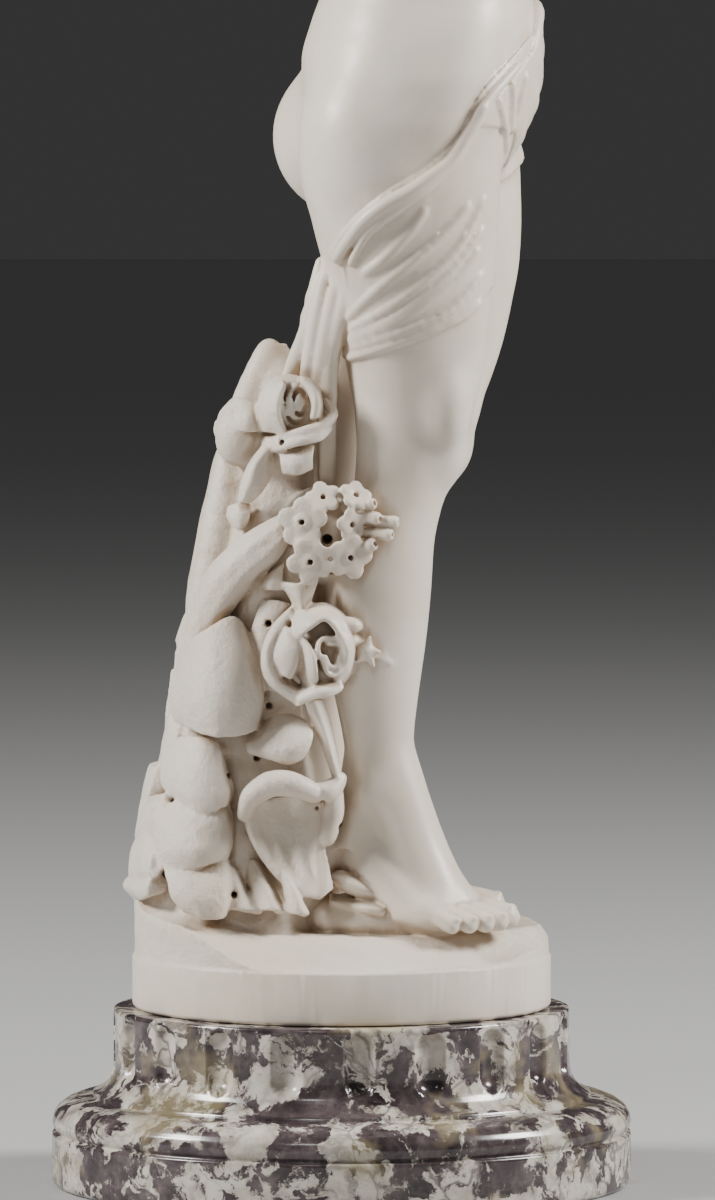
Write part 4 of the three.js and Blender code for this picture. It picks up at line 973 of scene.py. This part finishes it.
# lower leaf, great curled leaf, stem, three blades, sliver under the heel and its ledge
LEAVES = [
    [
        [(-45, -44, 229), (-37, -46, 236), (-26, -48, 239), (-18, -52, 236)],
        [(-47, -52, 225), (-36, -57, 230), (-26, -60, 232), (-14, -59, 231)],
        [(-47, -55, 222), (-35, -63, 222), (-24, -66, 223), (-15, -62, 225)],
        [(-47, -52, 221), (-34, -61, 217), (-26, -63, 215), (-19, -60, 218)],
    ],
    [
        [(-49, -60, 196), (-46, -58, 183), (-40, -58, 169), (-30, -60, 156), (-20, -63, 149)],
        [(-41, -55, 197), (-38, -52, 182), (-32, -54, 169), (-23, -60, 157), (-14, -64, 149)],
        [(-28, -50, 198), (-26, -49, 184), (-21, -53, 170), (-15, -60, 158), (-10, -64, 149)],
        [(-16, -52, 200), (-14, -52, 187), (-12, -56, 173), (-9, -60, 160), (-7, -62, 151)],
        [(-2, -52, 203), (-4, -52, 189), (-8, -56, 175), (-6, -57, 162), (-4, -58, 153)],
    ],
    [
        [(-18, -54, 247), (-14, -54, 234), (-9, -54, 222), (-4, -54, 208)],
        [(-14, -59, 247), (-10, -59, 236), (-6, -59, 223), (-2, -58, 208)],
        [(-10, -52, 247), (-6, -51, 237), (-3, -50, 224), (0, -50, 207)],
    ],
    [
        [(-58, -50, 165), (-57, -56, 155), (-58, -62, 144)],
        [(-54, -55, 164), (-52, -60, 153), (-49, -66, 143)],
        [(-50, -50, 160), (-46, -56, 151), (-39, -63, 142)],
    ],
    [
        [(-49, -46, 166), (-46, -54, 155), (-40, -62, 143)],
        [(-43, -52, 167), (-39, -60, 156), (-33, -68, 143)],
        [(-38, -46, 163), (-33, -54, 153), (-27, -64, 142)],
    ],
    [
        [(-32, -54, 164), (-29, -60, 152), (-27, -66, 142)],
        [(-27, -60, 160), (-23, -66, 151), (-20, -70, 141)],
        [(-23, -57, 153), (-19, -62, 147), (-15, -66, 141)],
    ],
    [
        [(-7, -42, 158), (0, -45, 161), (9, -49, 157), (17, -52, 151)],
        [(-5, -52, 157), (3, -56, 156), (11, -57, 153), (18, -55, 149)],
        [(-2, -50, 153), (4, -53, 150), (11, -54, 148), (18, -53, 148)],
    ],
    [
        [(-6, -44, 150), (4, -50, 148), (13, -54, 146), (22, -56, 144)],
        [(-6, -52, 146), (4, -58, 144), (13, -62, 143), (22, -62, 142)],
    ],
]
# leaves and sepals among the flowers
SMALL_LEAVES = [
    [
        [(-39, -50, 296), (-43, -52, 286), (-45, -50, 276), (-42, -50, 265), (-39, -50, 251)],
        [(-32, -54, 296), (-37, -56, 285), (-40, -55, 275), (-39, -55, 264), (-35, -54, 251)],
        [(-25, -54, 294), (-30, -56, 284), (-35, -56, 273), (-36, -56, 263), (-31, -55, 250)],
    ],
    [
        [(-39, -48, 372), (-45, -51, 364), (-49, -51, 355), (-51, -48, 345)],
        [(-36, -56, 371), (-42, -60, 363), (-45, -60, 354), (-49, -54, 344)],
        [(-34, -50, 367), (-34, -52, 360), (-38, -53, 351), (-45, -50, 344)],
    ],
    [
        [(-31, -54, 371), (-22, -60, 372), (-13, -58, 373)],
        [(-30, -60, 364), (-22, -64, 365), (-14, -62, 367)],
        [(-29, -58, 359), (-22, -62, 358), (-14, -59, 361)],
    ],
    [
        [(-29, -52, 358), (-21, -55, 359), (-12, -54, 356)],
        [(-33, -58, 351), (-25, -62, 352), (-15, -60, 351)],
        [(-36, -58, 344), (-26, -62, 345), (-19, -60, 349)],
    ],
    [
        [(-56, -40, 342), (-57, -42, 337), (-54, -44, 332)],
        [(-51, -46, 344), (-51, -50, 337), (-50, -49, 330)],
        [(-45, -46, 344), (-45, -49, 338), (-47, -47, 332)],
    ],
    [
        [(-30, -56, 305), (-25, -56, 297), (-23, -56, 291)],
        [(-21, -66, 305), (-20, -65, 298), (-19, -63, 291)],
        [(-11, -58, 307), (-14, -58, 299), (-16, -56, 292)],
    ],
    [
        [(-28, -54, 315), (-29, -56, 308), (-29, -56, 301)],
        [(-34, -54, 310), (-35, -57, 305), (-34, -57, 301)],
        [(-39, -50, 305), (-39, -52, 303), (-37, -53, 301)],
    ],
]
STAR_FLOWERS = [
    ((-19, -68, 335), (-0.15, -1, 0.1), 12.5, 0.3),
    ((-15, -69, 316), (-0.1, -1, -0.2), 12.0, 0.8),
    ((4, -68, 318), (0.3, -1, -0.15), 11.5, 0.1),
    ((5, -68, 334), (0.5, -0.9, -0.1), 8.5, 0.5),
    ((7, -65, 348), (0.4, -0.8, 0.6), 8.5, 0.0),
    ((-9, -66, 347), (0.0, -0.9, 0.5), 9.0, 0.6),
]
TUBES = [
    ((2, -60, 340), (17, -67, 337), 3.4),
    ((4, -60, 336), (26, -66, 335), 3.3),
    ((4, -60, 330), (23, -67, 329), 3.3),
    ((6, -60, 322), (15, -68, 324), 3.4),
    ((6, -60, 342), (15, -66, 344), 3.0),
]
# drilled holes: place and radius; the drill went in along +Y
HOLES = [
    ((-29, -50, 374), 1.5),
    ((-7, -60, 326), 3.0),
    ((-5, -62, 309), 1.4),
    ((-11, -60, 356), 1.3),
    ((-42, -46, 216), 2.0),
    ((-36, -46, 242), 2.2),
    ((-57, -44, 208), 1.6),
    ((-9, -56, 196), 1.3),
    ((-12, -56, 192), 1.1),
    ((-53, -54, 150), 1.8),
    ((-36, -54, 284), 2.0),
    ((-1, -44, 184), 1.8),
]


def open_rose(plates):
    for rows in OPEN_ROSE:
        plates.patch(rows, 1.3, 1.3, lumps=0.25)
    ball((-10, -58, 268), (14, 9, 18), k=2)
    # the cup round its hollow middle
    place = facing_frame((-7, -63, 270), (0.32, -1, 0.05))
    for start, size in ((0.4, 1.0), (3.2, 0.62)):

        def shape(u, v, start=start, size=size):
            a = start + 5.4 * u
            r = size * (1 + 0.16 * np.sin(3 * a)) * (0.75 + 0.25 * v)
            return place(np.stack([7.0 * r * np.cos(a), 9.5 * r * np.sin(a), -4 + 14 * v ], -1))

        plates.sheet(shape, 1.1, 1.1, 36, 10)


def half_open_rose(plates):
    ball((-26, -49, 392), (15.5, 14.5, 15.5), k=1.5)
    for rows in HALF_OPEN_ROSE:
        plates.patch(rows, 1.4, 1.6, lumps=0.3)
    # wound heart: two deep grooves round an upright oval
    for wide, tall, lean in ((6.5, 10.5, 0.0), (3.2, 6.0, 1.0)):
        turn = np.linspace(0.6, 5.9, 13)
        across, upright = wide * np.cos(turn), np.sin(turn)
        line = [(-21.5 + lean + c, -60.5 + 0.5 * abs(s), 394 + tall * s) for c, s in zip(across, upright)]
        limb([(*p, 1.0, 2.2) for p in line], up=(0, 1, 0), k=0.8, steps=26, cutting=True)
    # rim of the petal turned down in front
    limb([(-36, -50, 374, 1.8, 1.8), (-28, -60, 377, 2.0, 2.0), (-18, -64, 380, 2.0, 2.0),
          (-9, -61, 383, 2.1, 2.1), (-4, -56, 388, 2.1, 2.1), (-8, -52, 394, 1.8, 1.8)], k=1.5)


def bud(plates):
    ball((-51, -37, 377), (11.5, 13, 15.5), (0, 6, 0), k=1.5)
    for rows in BUD:
        plates.patch(rows, 1.0, 2.0, lumps=0.2)
    ball((-56, -40, 355), (6.5, 8, 4), (0, 20, 0), k=1.0)


def leaves(plates):
    def veins(u, v):
        fade = np.sin(math.pi * np.clip(v * 1.2, 0, 1)) * np.sin(math.pi * u)
        return 1.1 * np.sin(26 * (u - 0.35 * v)) * fade

    for i, rows in enumerate(LEAVES):
        plates.patch(rows, 1.0, 3.0 if i != 6 else 1.4, lumps=0.35, ripple=veins if i == 1 else None)
    for rows in SMALL_LEAVES:
        plates.patch(rows, 1.1, 2.0, lumps=0.3)
    # rolled lip of the curled leaf, in two lobes
    limb([(-48, -58, 190, 4, 3.5), (-44, -61, 199, 6, 5), (-36, -64, 205, 7, 6), (-27, -66, 206, 7, 6),
          (-18, -63, 203, 6, 5), (-13, -60, 200, 4, 4)], k=1.2)
    limb([(-14, -58, 202, 3, 3), (-8, -58, 201, 6, 5), (-3, -56, 204, 4, 4), (0, -54, 208, 2.5, 2.5)], k=1.2)
    limb([(-4, -54, 200, 5, 4), (-4, -55, 188, 5, 4), (-7, -56, 178, 4, 4)], k=1.2)


def bouquet():
    ball((-32, -32, 300), (24, 19, 64), k=4)
    ball((-10, -44, 328), (22, 14, 24), k=4)
    ball((-6, -54, 330), (17, 10, 17), k=3)
    ball((-34, -34, 372), (20, 13, 20), k=4)
    ball((-26, -36, 172), (27, 15, 36), k=5)
    plates = Plates()
    open_rose(plates)
    half_open_rose(plates)
    bud(plates)
    leaves(plates)
    for centre, facing, radius, spin in STAR_FLOWERS:
        star_flower(plates, centre, facing, radius, spin)
    for rows in SCALES:
        plates.patch(rows, 1.0, 9.0, lumps=0.8)
    for i, kind in enumerate(HIDDEN_SCALES):
        scale(plates, seed=i, **kind)
    plates.patch(BAND, 1.5, 7.0, lumps=0.3)
    plates.join(0.8)
    for centre, facing, radius, _ in STAR_FLOWERS:
        axis = np.array(facing, float) / np.linalg.norm(facing)
        c = np.array(centre, float)
        stalk = [(*(c - axis * 16), 3.5, 3.5), (*(c - axis * 2.5), radius * 0.5, radius * 0.5)]
        eye = [(*(c - axis * 4), 1.3, 1.3), (*(c + axis * 4), 1.5, 1.5)]
        limb(stalk, up=(0.1, 0.2, 1), k=1)
        limb(eye, up=(0.1, 0.2, 1), k=0.3, steps=1, cutting=True)
    for a, b, r in TUBES:
        limb([(*a, r * 0.6, r * 0.6), (*b, r, r)], k=1, steps=3)
        axis = np.array(b, float) - np.array(a, float)
        axis /= np.linalg.norm(axis)
        tip = np.array(b, float) + axis * r
        limb([(*(tip - axis * 4), 1.2, 1.2), (*(tip + axis * 2), 1.6, 1.6)], k=0.3, steps=1, cutting=True)
    star_bud()
    for (x, y, z), r in HOLES:
        limb([(x, y - 12, z, r, r), (x, y + 12, z + 1, r * 0.7, r * 0.7)], k=0.8, steps=1, cutting=True)


def star_bud():
    """The little bud beside the open rose, its pointed sepals and the strand that ties it to the calf."""
    ball((12, -62, 271), (4.2, 4.6, 4.4), k=1)
    for x, z in ((14, 278), (19, 271), (16, 264), (8, 266)):
        limb([(12, -62, 271, 3, 3), (x, -64, z, 1.0, 1.0)], k=1, steps=2)
    limb([(3, -60, 278, 3, 3), (12, -58, 271, 3.5, 3.5), (24, -57, 265, 1.2, 1.2)], k=1.5)
    ball((5, -62, 284), (5.5, 5, 4), (0, 20, 0), k=1.2)


# ---------------------------------------------------------------- the carved block as one skin
def build_field():
    round_base()
    trunk()
    body()
    for joints in (NEAR_ARM, FAR_ARM):
        arm(joints)
    hand(NEAR_ARM[2], (-12, 42, 30), (1, 0.3, 0.1), 0.22, 1)
    hand(FAR_ARM[2], (28, -38, -6), (0.7, 0.6, 0.3), 0.35, -1)
    foot((19, -36), 27, 24, -1, 71)
    foot((5, 24), -6, 0, 1, 78)
    head()
    hair()
    thigh_cloth()
    belly_cloth()
    rolled_edge()
    falling_folds()
    bouquet()
    chisel_marks()


def chisel_marks():
    """Roughness left from the chisel on the trunk, the flowers and the ground, but not on the figure."""
    cut, x, y, z = window((-112, -90, 116), (30, 60, 350))
    marks = 0.22 * waves(x, y, z, 51, 2.2) + 0.2 * waves(x, y, z, 52, 1.1)
    FIELD[cut] += marks * ease((-2 - x) / 8 + (140 - z) / 20)


def polygonise():
    """The skin at distance zero, as points in millimetres and four-sided faces."""
    grid = openvdb.FloatGrid()
    grid.background = 3 * VOXEL
    grid.copyFromArray(np.clip(FIELD, -3 * VOXEL, 3 * VOXEL), tolerance=0.0)
    points, quads = grid.convertToQuads(0.0)
    return points.astype(np.float64) * VOXEL + LOW, quads


def keep_largest(count, faces):
    """Faces of the largest connected skin."""
    label = np.arange(count)
    for _ in range(400):
        low = label[faces].min(axis=1)
        new = label.copy()
        np.minimum.at(new, faces.ravel(), np.repeat(low, faces.shape[1]))
        new = new[new]
        if np.array_equal(new, label):
            break
        label = new
    face_label = label[faces[:, 0]]
    names, sizes = np.unique(face_label, return_counts=True)
    return faces[face_label == names[np.argmax(sizes)]]


def mesh_object(name, points, faces):
    used = np.unique(faces)
    remap = np.full(len(points), -1)
    remap[used] = np.arange(len(used))
    mesh = bpy.data.meshes.new(name)
    faces = remap[faces]
    points = points[used]
    mesh.vertices.add(len(points))
    mesh.vertices.foreach_set("co", np.ascontiguousarray(points, dtype=np.float32).ravel())
    n = faces.shape[1]
    mesh.loops.add(faces.size)
    mesh.loops.foreach_set("vertex_index", faces.ravel().astype(np.int32))
    mesh.polygons.add(len(faces))
    mesh.polygons.foreach_set("loop_start", np.arange(0, faces.size, n, dtype=np.int32))
    mesh.update(calc_edges=True)
    mesh.validate()
    thing = bpy.data.objects.new(name, mesh)
    bpy.context.scene.collection.objects.link(thing)
    return thing


def coordinates(mesh):
    co = np.empty(3 * len(mesh.vertices), np.float32)
    mesh.vertices.foreach_get("co", co)
    return co.reshape(-1, 3).astype(np.float64)


def apply_modifier(thing, kind, **settings):
    modifier = thing.modifiers.new(kind.lower(), kind)
    for key, value in settings.items():
        setattr(modifier, key, value)
    done = bpy.data.meshes.new_from_object(thing.evaluated_get(bpy.context.evaluated_depsgraph_get()))
    thing.modifiers.clear()
    old = thing.data
    thing.data = done
    bpy.data.meshes.remove(old)


def hollowness(points, normals):
    """How shut in each point is, from 0 in the open to 1 in a deep cut; the marble darkens by it as painted
    shade and dirt.
    """
    shut = 0
    for reach, weight in ((1.6, 0.25), (3.5, 0.35), (7.0, 0.4)):
        room = sample(FIELD, points + normals * reach)
        shut = shut + weight * np.clip(1 - room / reach, 0, 1)
    return shut


def statue_object():
    build_field()
    points, quads = polygonise()
    quads = keep_largest(len(points), quads.astype(np.int64))
    thing = mesh_object("statue_skin", points, quads[:, ::-1])
    triangles = 2 * len(thing.data.polygons)
    target = SKIN_FACES
    apply_modifier(thing, "DECIMATE", ratio=min(1.0, target / triangles), use_collapse_triangulate=True)
    mesh = thing.data
    at = coordinates(mesh)
    d = 0.8
    normal = np.stack(
        [sample(FIELD, at + d * np.eye(3)[k]) - sample(FIELD, at - d * np.eye(3)[k]) for k in range(3)], 1
    )
    normal /= np.linalg.norm(normal, axis=1, keepdims=True) + 1e-9
    # the hollow attribute drives the painted shade and dirt in the marble's recesses
    shut = mesh.attributes.new("hollow", "FLOAT", "POINT")
    shut.data.foreach_set("value", hollowness(at, normal).astype(np.float32))
    mesh.vertices.foreach_set("co", (at / 1000).astype(np.float32).ravel())
    mesh.polygons.foreach_set("use_smooth", np.ones(len(mesh.polygons), bool))
    mesh.update()
    return thing


# ---------------------------------------------------------------- socle
SOCLE_OUTLINE = [
    (0, 0),
    (141.5, 0),
    (143.8, 0.6),
    (145.1, 2.2),
    (145.4, 4.5),
    (145.4, 25.6),
    (144.9, 26.4),
    (143.2, 26.7),
    (143.2, 27.4),
    (144.6, 29.2),
    (145.3, 32.2),
    (144.6, 35.6),
    (142.6, 38.8),
    (139, 41.4),
    (134, 43.2),
    (128, 44.2),
    (125.3, 44.6),
    (124.8, 45.2),
    (124.8, 46.3),
    (124, 46.8),
    (120.6, 48.6),
    (117.6, 51.4),
    (115.6, 55),
    (114.6, 59),
    (114.4, 62),
    (114.4, 87.4),
    (113.9, 88.6),
    (112.8, 88.9),
    (0, 88.9),
]


NECK_RADIUS = 114.4
FLUTES, FLUTE_HALF_WIDTH, FLUTE_DEPTH = 20, 7.6, 4.6
FLUTE_FOOT, FLUTE_HEAD, NECK_FOOT = 62.5, 79.0, 50
SOCLE_SIDES, SOCLE_STEP = 640, 1.1


def socle_object():
    """The turned outline swept round, with round-ended flutes sunk into the neck."""
    rows = []
    for (r0, z0), (r1, z1) in zip(SOCLE_OUTLINE[:-1], SOCLE_OUTLINE[1:]):
        steps = 1 if min(r0, r1) == 0 else max(1, int(math.hypot(r1 - r0, z1 - z0) / SOCLE_STEP))
        rows += [(mix(r0, r1, i / steps), mix(z0, z1, i / steps)) for i in range(steps)]
    rows.append(SOCLE_OUTLINE[-1])
    rows = np.array(rows)
    sides = SOCLE_SIDES
    a = np.linspace(0, 2 * math.pi, sides, endpoint=False)
    pitch = 2 * math.pi / FLUTES
    offset = np.abs((a - 0.25 * pitch + pitch / 2) % pitch - pitch / 2) * NECK_RADIUS
    points = []
    for r, z in rows[1:-1]:
        past_end = max(FLUTE_FOOT - z, z - FLUTE_HEAD, 0)
        across = offset**2 + past_end**2
        deep = np.clip(1 - across / FLUTE_HALF_WIDTH**2, 0, None) ** 0.6 * FLUTE_DEPTH
        radius = r - deep * (z > NECK_FOOT)
        points.append(np.stack([radius * np.cos(a), radius * np.sin(a), np.full(sides, z)], -1))
    n = len(points)
    points = np.concatenate([np.concatenate(points), [[0, 0, rows[0][1]], [0, 0, rows[-1][1]]]])
    index = np.arange(n * sides).reshape(n, sides)
    side = np.roll(index, -1, 1)
    quads = np.stack([index[:-1], side[:-1], side[1:], index[1:]], -1).reshape(-1, 4)
    triangles = np.concatenate(
        [
            quads[:, [0, 1, 2]],
            quads[:, [0, 2, 3]],
            np.stack([side[0], index[0], np.full(sides, n * sides)], -1),
            np.stack([index[-1], side[-1], np.full(sides, n * sides + 1)], -1),
        ]
    )
    thing = mesh_object("socle_stone", points / 1000, triangles)
    thing.data.polygons.foreach_set("use_smooth", np.ones(len(thing.data.polygons), bool))
    return thing


# ---------------------------------------------------------------- materials
class Nodes:
    """A small helper round one material's nodes."""

    def __init__(self, name):
        self.material = bpy.data.materials.new(name)
        self.material.use_nodes = True
        self.tree = self.material.node_tree
        self.shader = self.tree.nodes["Principled BSDF"]
        self.place = self.add("ShaderNodeTexCoord").outputs["Object"]

    def add(self, kind, links=(), **settings):
        node = self.tree.nodes.new(kind)
        for key, value in settings.items():
            setattr(node, key, value)
        for socket, value in links:
            if isinstance(value, bpy.types.NodeSocket):
                self.tree.links.new(value, node.inputs[socket])
            else:
                node.inputs[socket].default_value = value
        return node

    def noise(self, scale, detail=4.0, rough=0.55, distortion=0.0, vector=None):
        links = [("Vector", vector or self.place), ("Scale", scale), ("Detail", detail)]
        links += [("Roughness", rough), ("Distortion", distortion)]
        return self.add("ShaderNodeTexNoise", links).outputs["Fac"]

    def ramp(self, value, stops, interpolation="LINEAR"):
        node = self.add("ShaderNodeValToRGB", [("Fac", value)])
        ramp = node.color_ramp
        ramp.interpolation = interpolation
        while len(ramp.elements) < len(stops):
            ramp.elements.new(0.5)
        for element, (at, colour) in zip(ramp.elements, stops):
            element.position = at
            element.color = (*colour, 1) if isinstance(colour, tuple) else (colour, colour, colour, 1)
        return node.outputs["Color"]

    def blend(self, share, a, b, mode="MIX"):
        node = self.add("ShaderNodeMix", data_type="RGBA", blend_type=mode)
        for i, value in ((0, share), (6, a), (7, b)):
            if isinstance(value, bpy.types.NodeSocket):
                self.tree.links.new(value, node.inputs[i])
            else:
                node.inputs[i].default_value = (*value, 1) if isinstance(value, tuple) else value
        return node.outputs[2]

    def maths(self, how, a, b=0.0, clamp=False):
        links = [(0, a), (1, b)]
        return self.add("ShaderNodeMath", links, operation=how, use_clamp=clamp).outputs[0]

    def bump(self, height, distance, strength=1.0, normal=None):
        links = [("Height", height), ("Distance", distance), ("Strength", strength)]
        if normal:
            links.append(("Normal", normal))
        return self.add("ShaderNodeBump", links).outputs["Normal"]

    def set(self, socket, value):
        if isinstance(value, bpy.types.NodeSocket):
            self.tree.links.new(value, self.shader.inputs[socket])
        else:
            self.shader.inputs[socket].default_value = value


def white_marble():
    m = Nodes("white_marble")
    hollow = m.add("ShaderNodeAttribute", attribute_name="hollow").outputs["Fac"]
    cloud = m.noise(9.0, 5.0, 0.6, 0.6)
    stone = [(0.30, (0.70, 0.60, 0.49)), (0.55, (0.77, 0.69, 0.59)), (0.75, (0.82, 0.755, 0.67))]
    tone = m.ramp(cloud, stone)
    vein = m.ramp(m.noise(14.0, 6.0, 0.62, 2.2), [(0.47, 0.0), (0.5, 1.0), (0.53, 0.0)])
    tone = m.blend(m.maths("MULTIPLY", vein, 0.10), tone, (0.62, 0.60, 0.58))
    # dirt and painted shade darkening the hollows, and a few dark grains
    patchy = m.ramp(m.noise(60.0, 4.0), [(0.3, 0.45), (0.7, 1.0)])
    # painted shade and dirt: the shut-in parts, by the hollow attribute, are darkened towards warm brown
    dirt_and_shade = m.maths("MULTIPLY", m.ramp(hollow, [(0.16, 0.0), (0.62, 1.0)]), patchy)
    tone = m.blend(m.maths("MULTIPLY", dirt_and_shade, 0.8), tone, (0.40, 0.27, 0.15))
    grain = m.add("ShaderNodeTexVoronoi", [("Vector", m.place), ("Scale", 55.0)]).outputs["Distance"]
    sparse = m.ramp(m.noise(31.0, 2.0), [(0.66, 0.0), (0.68, 1.0)])
    speck = m.maths("MULTIPLY", m.ramp(grain, [(0.035, 1.0), (0.05, 0.0)]), sparse)
    tone = m.blend(m.maths("MULTIPLY", speck, 0.6), tone, (0.22, 0.20, 0.20))
    m.set("Base Color", tone)
    # the skin is polished, the ground and the trunk are left from the chisel
    height = m.add("ShaderNodeSeparateXYZ", [("Vector", m.place)])
    low = m.ramp(height.outputs["Z"], [(0.1150, 0.0), (0.1158, 1.0), (0.1330, 1.0), (0.1370, 0.0)])
    trunk_x = m.maths("MULTIPLY", m.maths("ADD", height.outputs["X"], 0.012), -120.0, True)
    trunk_z = m.maths("MULTIPLY", m.maths("SUBTRACT", height.outputs["Z"], 0.42), -60.0, True)
    above = m.maths("MULTIPLY", m.maths("SUBTRACT", height.outputs["Z"], 0.1152), 900.0, True)
    low = m.maths("MAXIMUM", low, m.maths("MULTIPLY", m.maths("MULTIPLY", trunk_x, trunk_z), above))
    m.set("Roughness", m.ramp(m.noise(120.0, 3.0), [(0.3, 0.34), (0.7, 0.46)]))
    m.set("Subsurface Weight", 0.12)
    m.set("Subsurface Radius", (0.0045, 0.0034, 0.0024))
    m.set("Subsurface Scale", 1.0)
    m.set("IOR", 1.48)
    chisel = m.bump(m.noise(160.0, 6.0, 0.68), 0.0018, 0.75)
    rough = m.bump(m.noise(1500.0, 3.0), 0.00008, 0.35)
    normal = m.add("ShaderNodeMix", [(0, low), (4, rough), (5, chisel)], data_type="VECTOR")
    m.set("Normal", normal.outputs[1])
    return m.material


def breccia_marble():
    """Violet and grey clasts in a paler ground, with dark seams and patches of cream."""
    m = Nodes("breccia_marble")
    warp = m.add("ShaderNodeTexNoise", [("Vector", m.place), ("Scale", 40.0), ("Detail", 5.0)])
    shifted = m.blend(0.022, m.place, warp.outputs["Color"], "LINEAR_LIGHT")
    clast = m.noise(46.0, 8.0, 0.66, 0.3, shifted)
    pale = [(0.3, (0.34, 0.30, 0.25)), (0.55, (0.60, 0.55, 0.48)), (0.8, (0.72, 0.68, 0.61))]
    dark = [(0.35, (0.022, 0.016, 0.018)), (0.5, (0.055, 0.040, 0.044)), (0.68, (0.15, 0.115, 0.120))]
    white = m.ramp(m.noise(90.0, 5.0, 0.6), pale)
    violet = m.ramp(m.noise(75.0, 6.0, 0.7), dark)
    share = m.ramp(clast, [(0.49, 1.0), (0.525, 0.0)])
    tone = m.blend(share, white, violet)
    seam = m.add("ShaderNodeTexVoronoi", [("Vector", shifted), ("Scale", 55.0)], feature="DISTANCE_TO_EDGE")
    vein = m.ramp(seam.outputs["Distance"], [(0.02, 1.0), (0.10, 0.0)])
    here = m.ramp(m.noise(18.0, 3.0), [(0.4, 0.1), (0.6, 0.75)])
    tone = m.blend(m.maths("MULTIPLY", vein, here), tone, (0.075, 0.058, 0.058))
    cream = m.ramp(m.noise(16.0, 4.0), [(0.56, 0.0), (0.64, 1.0)])
    tone = m.blend(m.maths("MULTIPLY", cream, 0.45), tone, (0.42, 0.35, 0.19))
    m.set("Base Color", tone)
    m.set("Roughness", m.ramp(m.noise(90.0, 4.0), [(0.3, 0.14), (0.7, 0.26)]))
    m.set("IOR", 1.5)
    m.set("Coat Weight", 0.15)
    m.set("Coat Roughness", 0.1)
    m.set("Normal", m.bump(m.noise(300.0, 4.0), 0.00006, 0.4))
    return m.material


def floor_material():
    m = Nodes("floor_paint")
    away = m.add("ShaderNodeVectorMath", [(0, m.place)], operation="LENGTH").outputs["Value"]
    m.set("Base Color", m.ramp(m.maths("MULTIPLY", away, 0.05), [(0.01, 0.42), (0.2, 0.62), (1.0, 0.8)]))
    m.set("Roughness", 0.8)
    return m.material


# ---------------------------------------------------------------- pieces
statue = statue_object()
statue.data.materials.append(white_marble())
socle = socle_object()
socle.data.materials.append(breccia_marble())
for piece, node, slot in ((statue, "statue", "white_marble"), (socle, "socle", "breccia_marble")):
    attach(piece, "root")
    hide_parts(node)

# ---------------------------------------------------------------- floor, light and camera
bpy.ops.mesh.primitive_plane_add(size=60)
floor = bpy.context.object
floor.name = "floor"
floor.data.materials.append(floor_material())


def lamp(name, place, target, size, power, colour=(1, 1, 1)):
    light = bpy.data.lights.new(name, "AREA")
    light.size = size
    light.energy = power
    light.color = colour
    thing = bpy.data.objects.new(name, light)
    thing.location = place
    thing.rotation_euler = (Vector(target) - Vector(place)).to_track_quat("-Z", "Y").to_euler()
    bpy.context.scene.collection.objects.link(thing)


lamp("left", (-2.2, -0.55, 1.75), (0, 0, 0.62), 0.7, 112, (1.0, 0.985, 0.965))
lamp("right", (2.1, -0.15, 1.65), (0, 0, 0.60), 0.7, 105, (1.0, 0.985, 0.965))
lamp("front", (-0.7, -2.4, 2.3), (0, 0, 0.60), 0.5, 9, (1.0, 0.985, 0.965))

world = bpy.data.worlds.new("studio")
bpy.context.scene.world = world
world.use_nodes = True
world.node_tree.nodes["Background"].inputs["Color"].default_value = (0.80, 0.80, 0.80, 1)
world.node_tree.nodes["Background"].inputs["Strength"].default_value = 0.05

camera = bpy.data.objects.new("camera", bpy.data.cameras.new("camera"))
bpy.context.scene.collection.objects.link(camera)
camera.location = (0.008, -4.3, 0.53)
camera.rotation_euler = (Vector((0.008, 0, 0.293)) - camera.location).to_track_quat("-Z", "Y").to_euler()
camera.data.lens = 258
camera.data.sensor_width = 36
bpy.context.scene.camera = camera
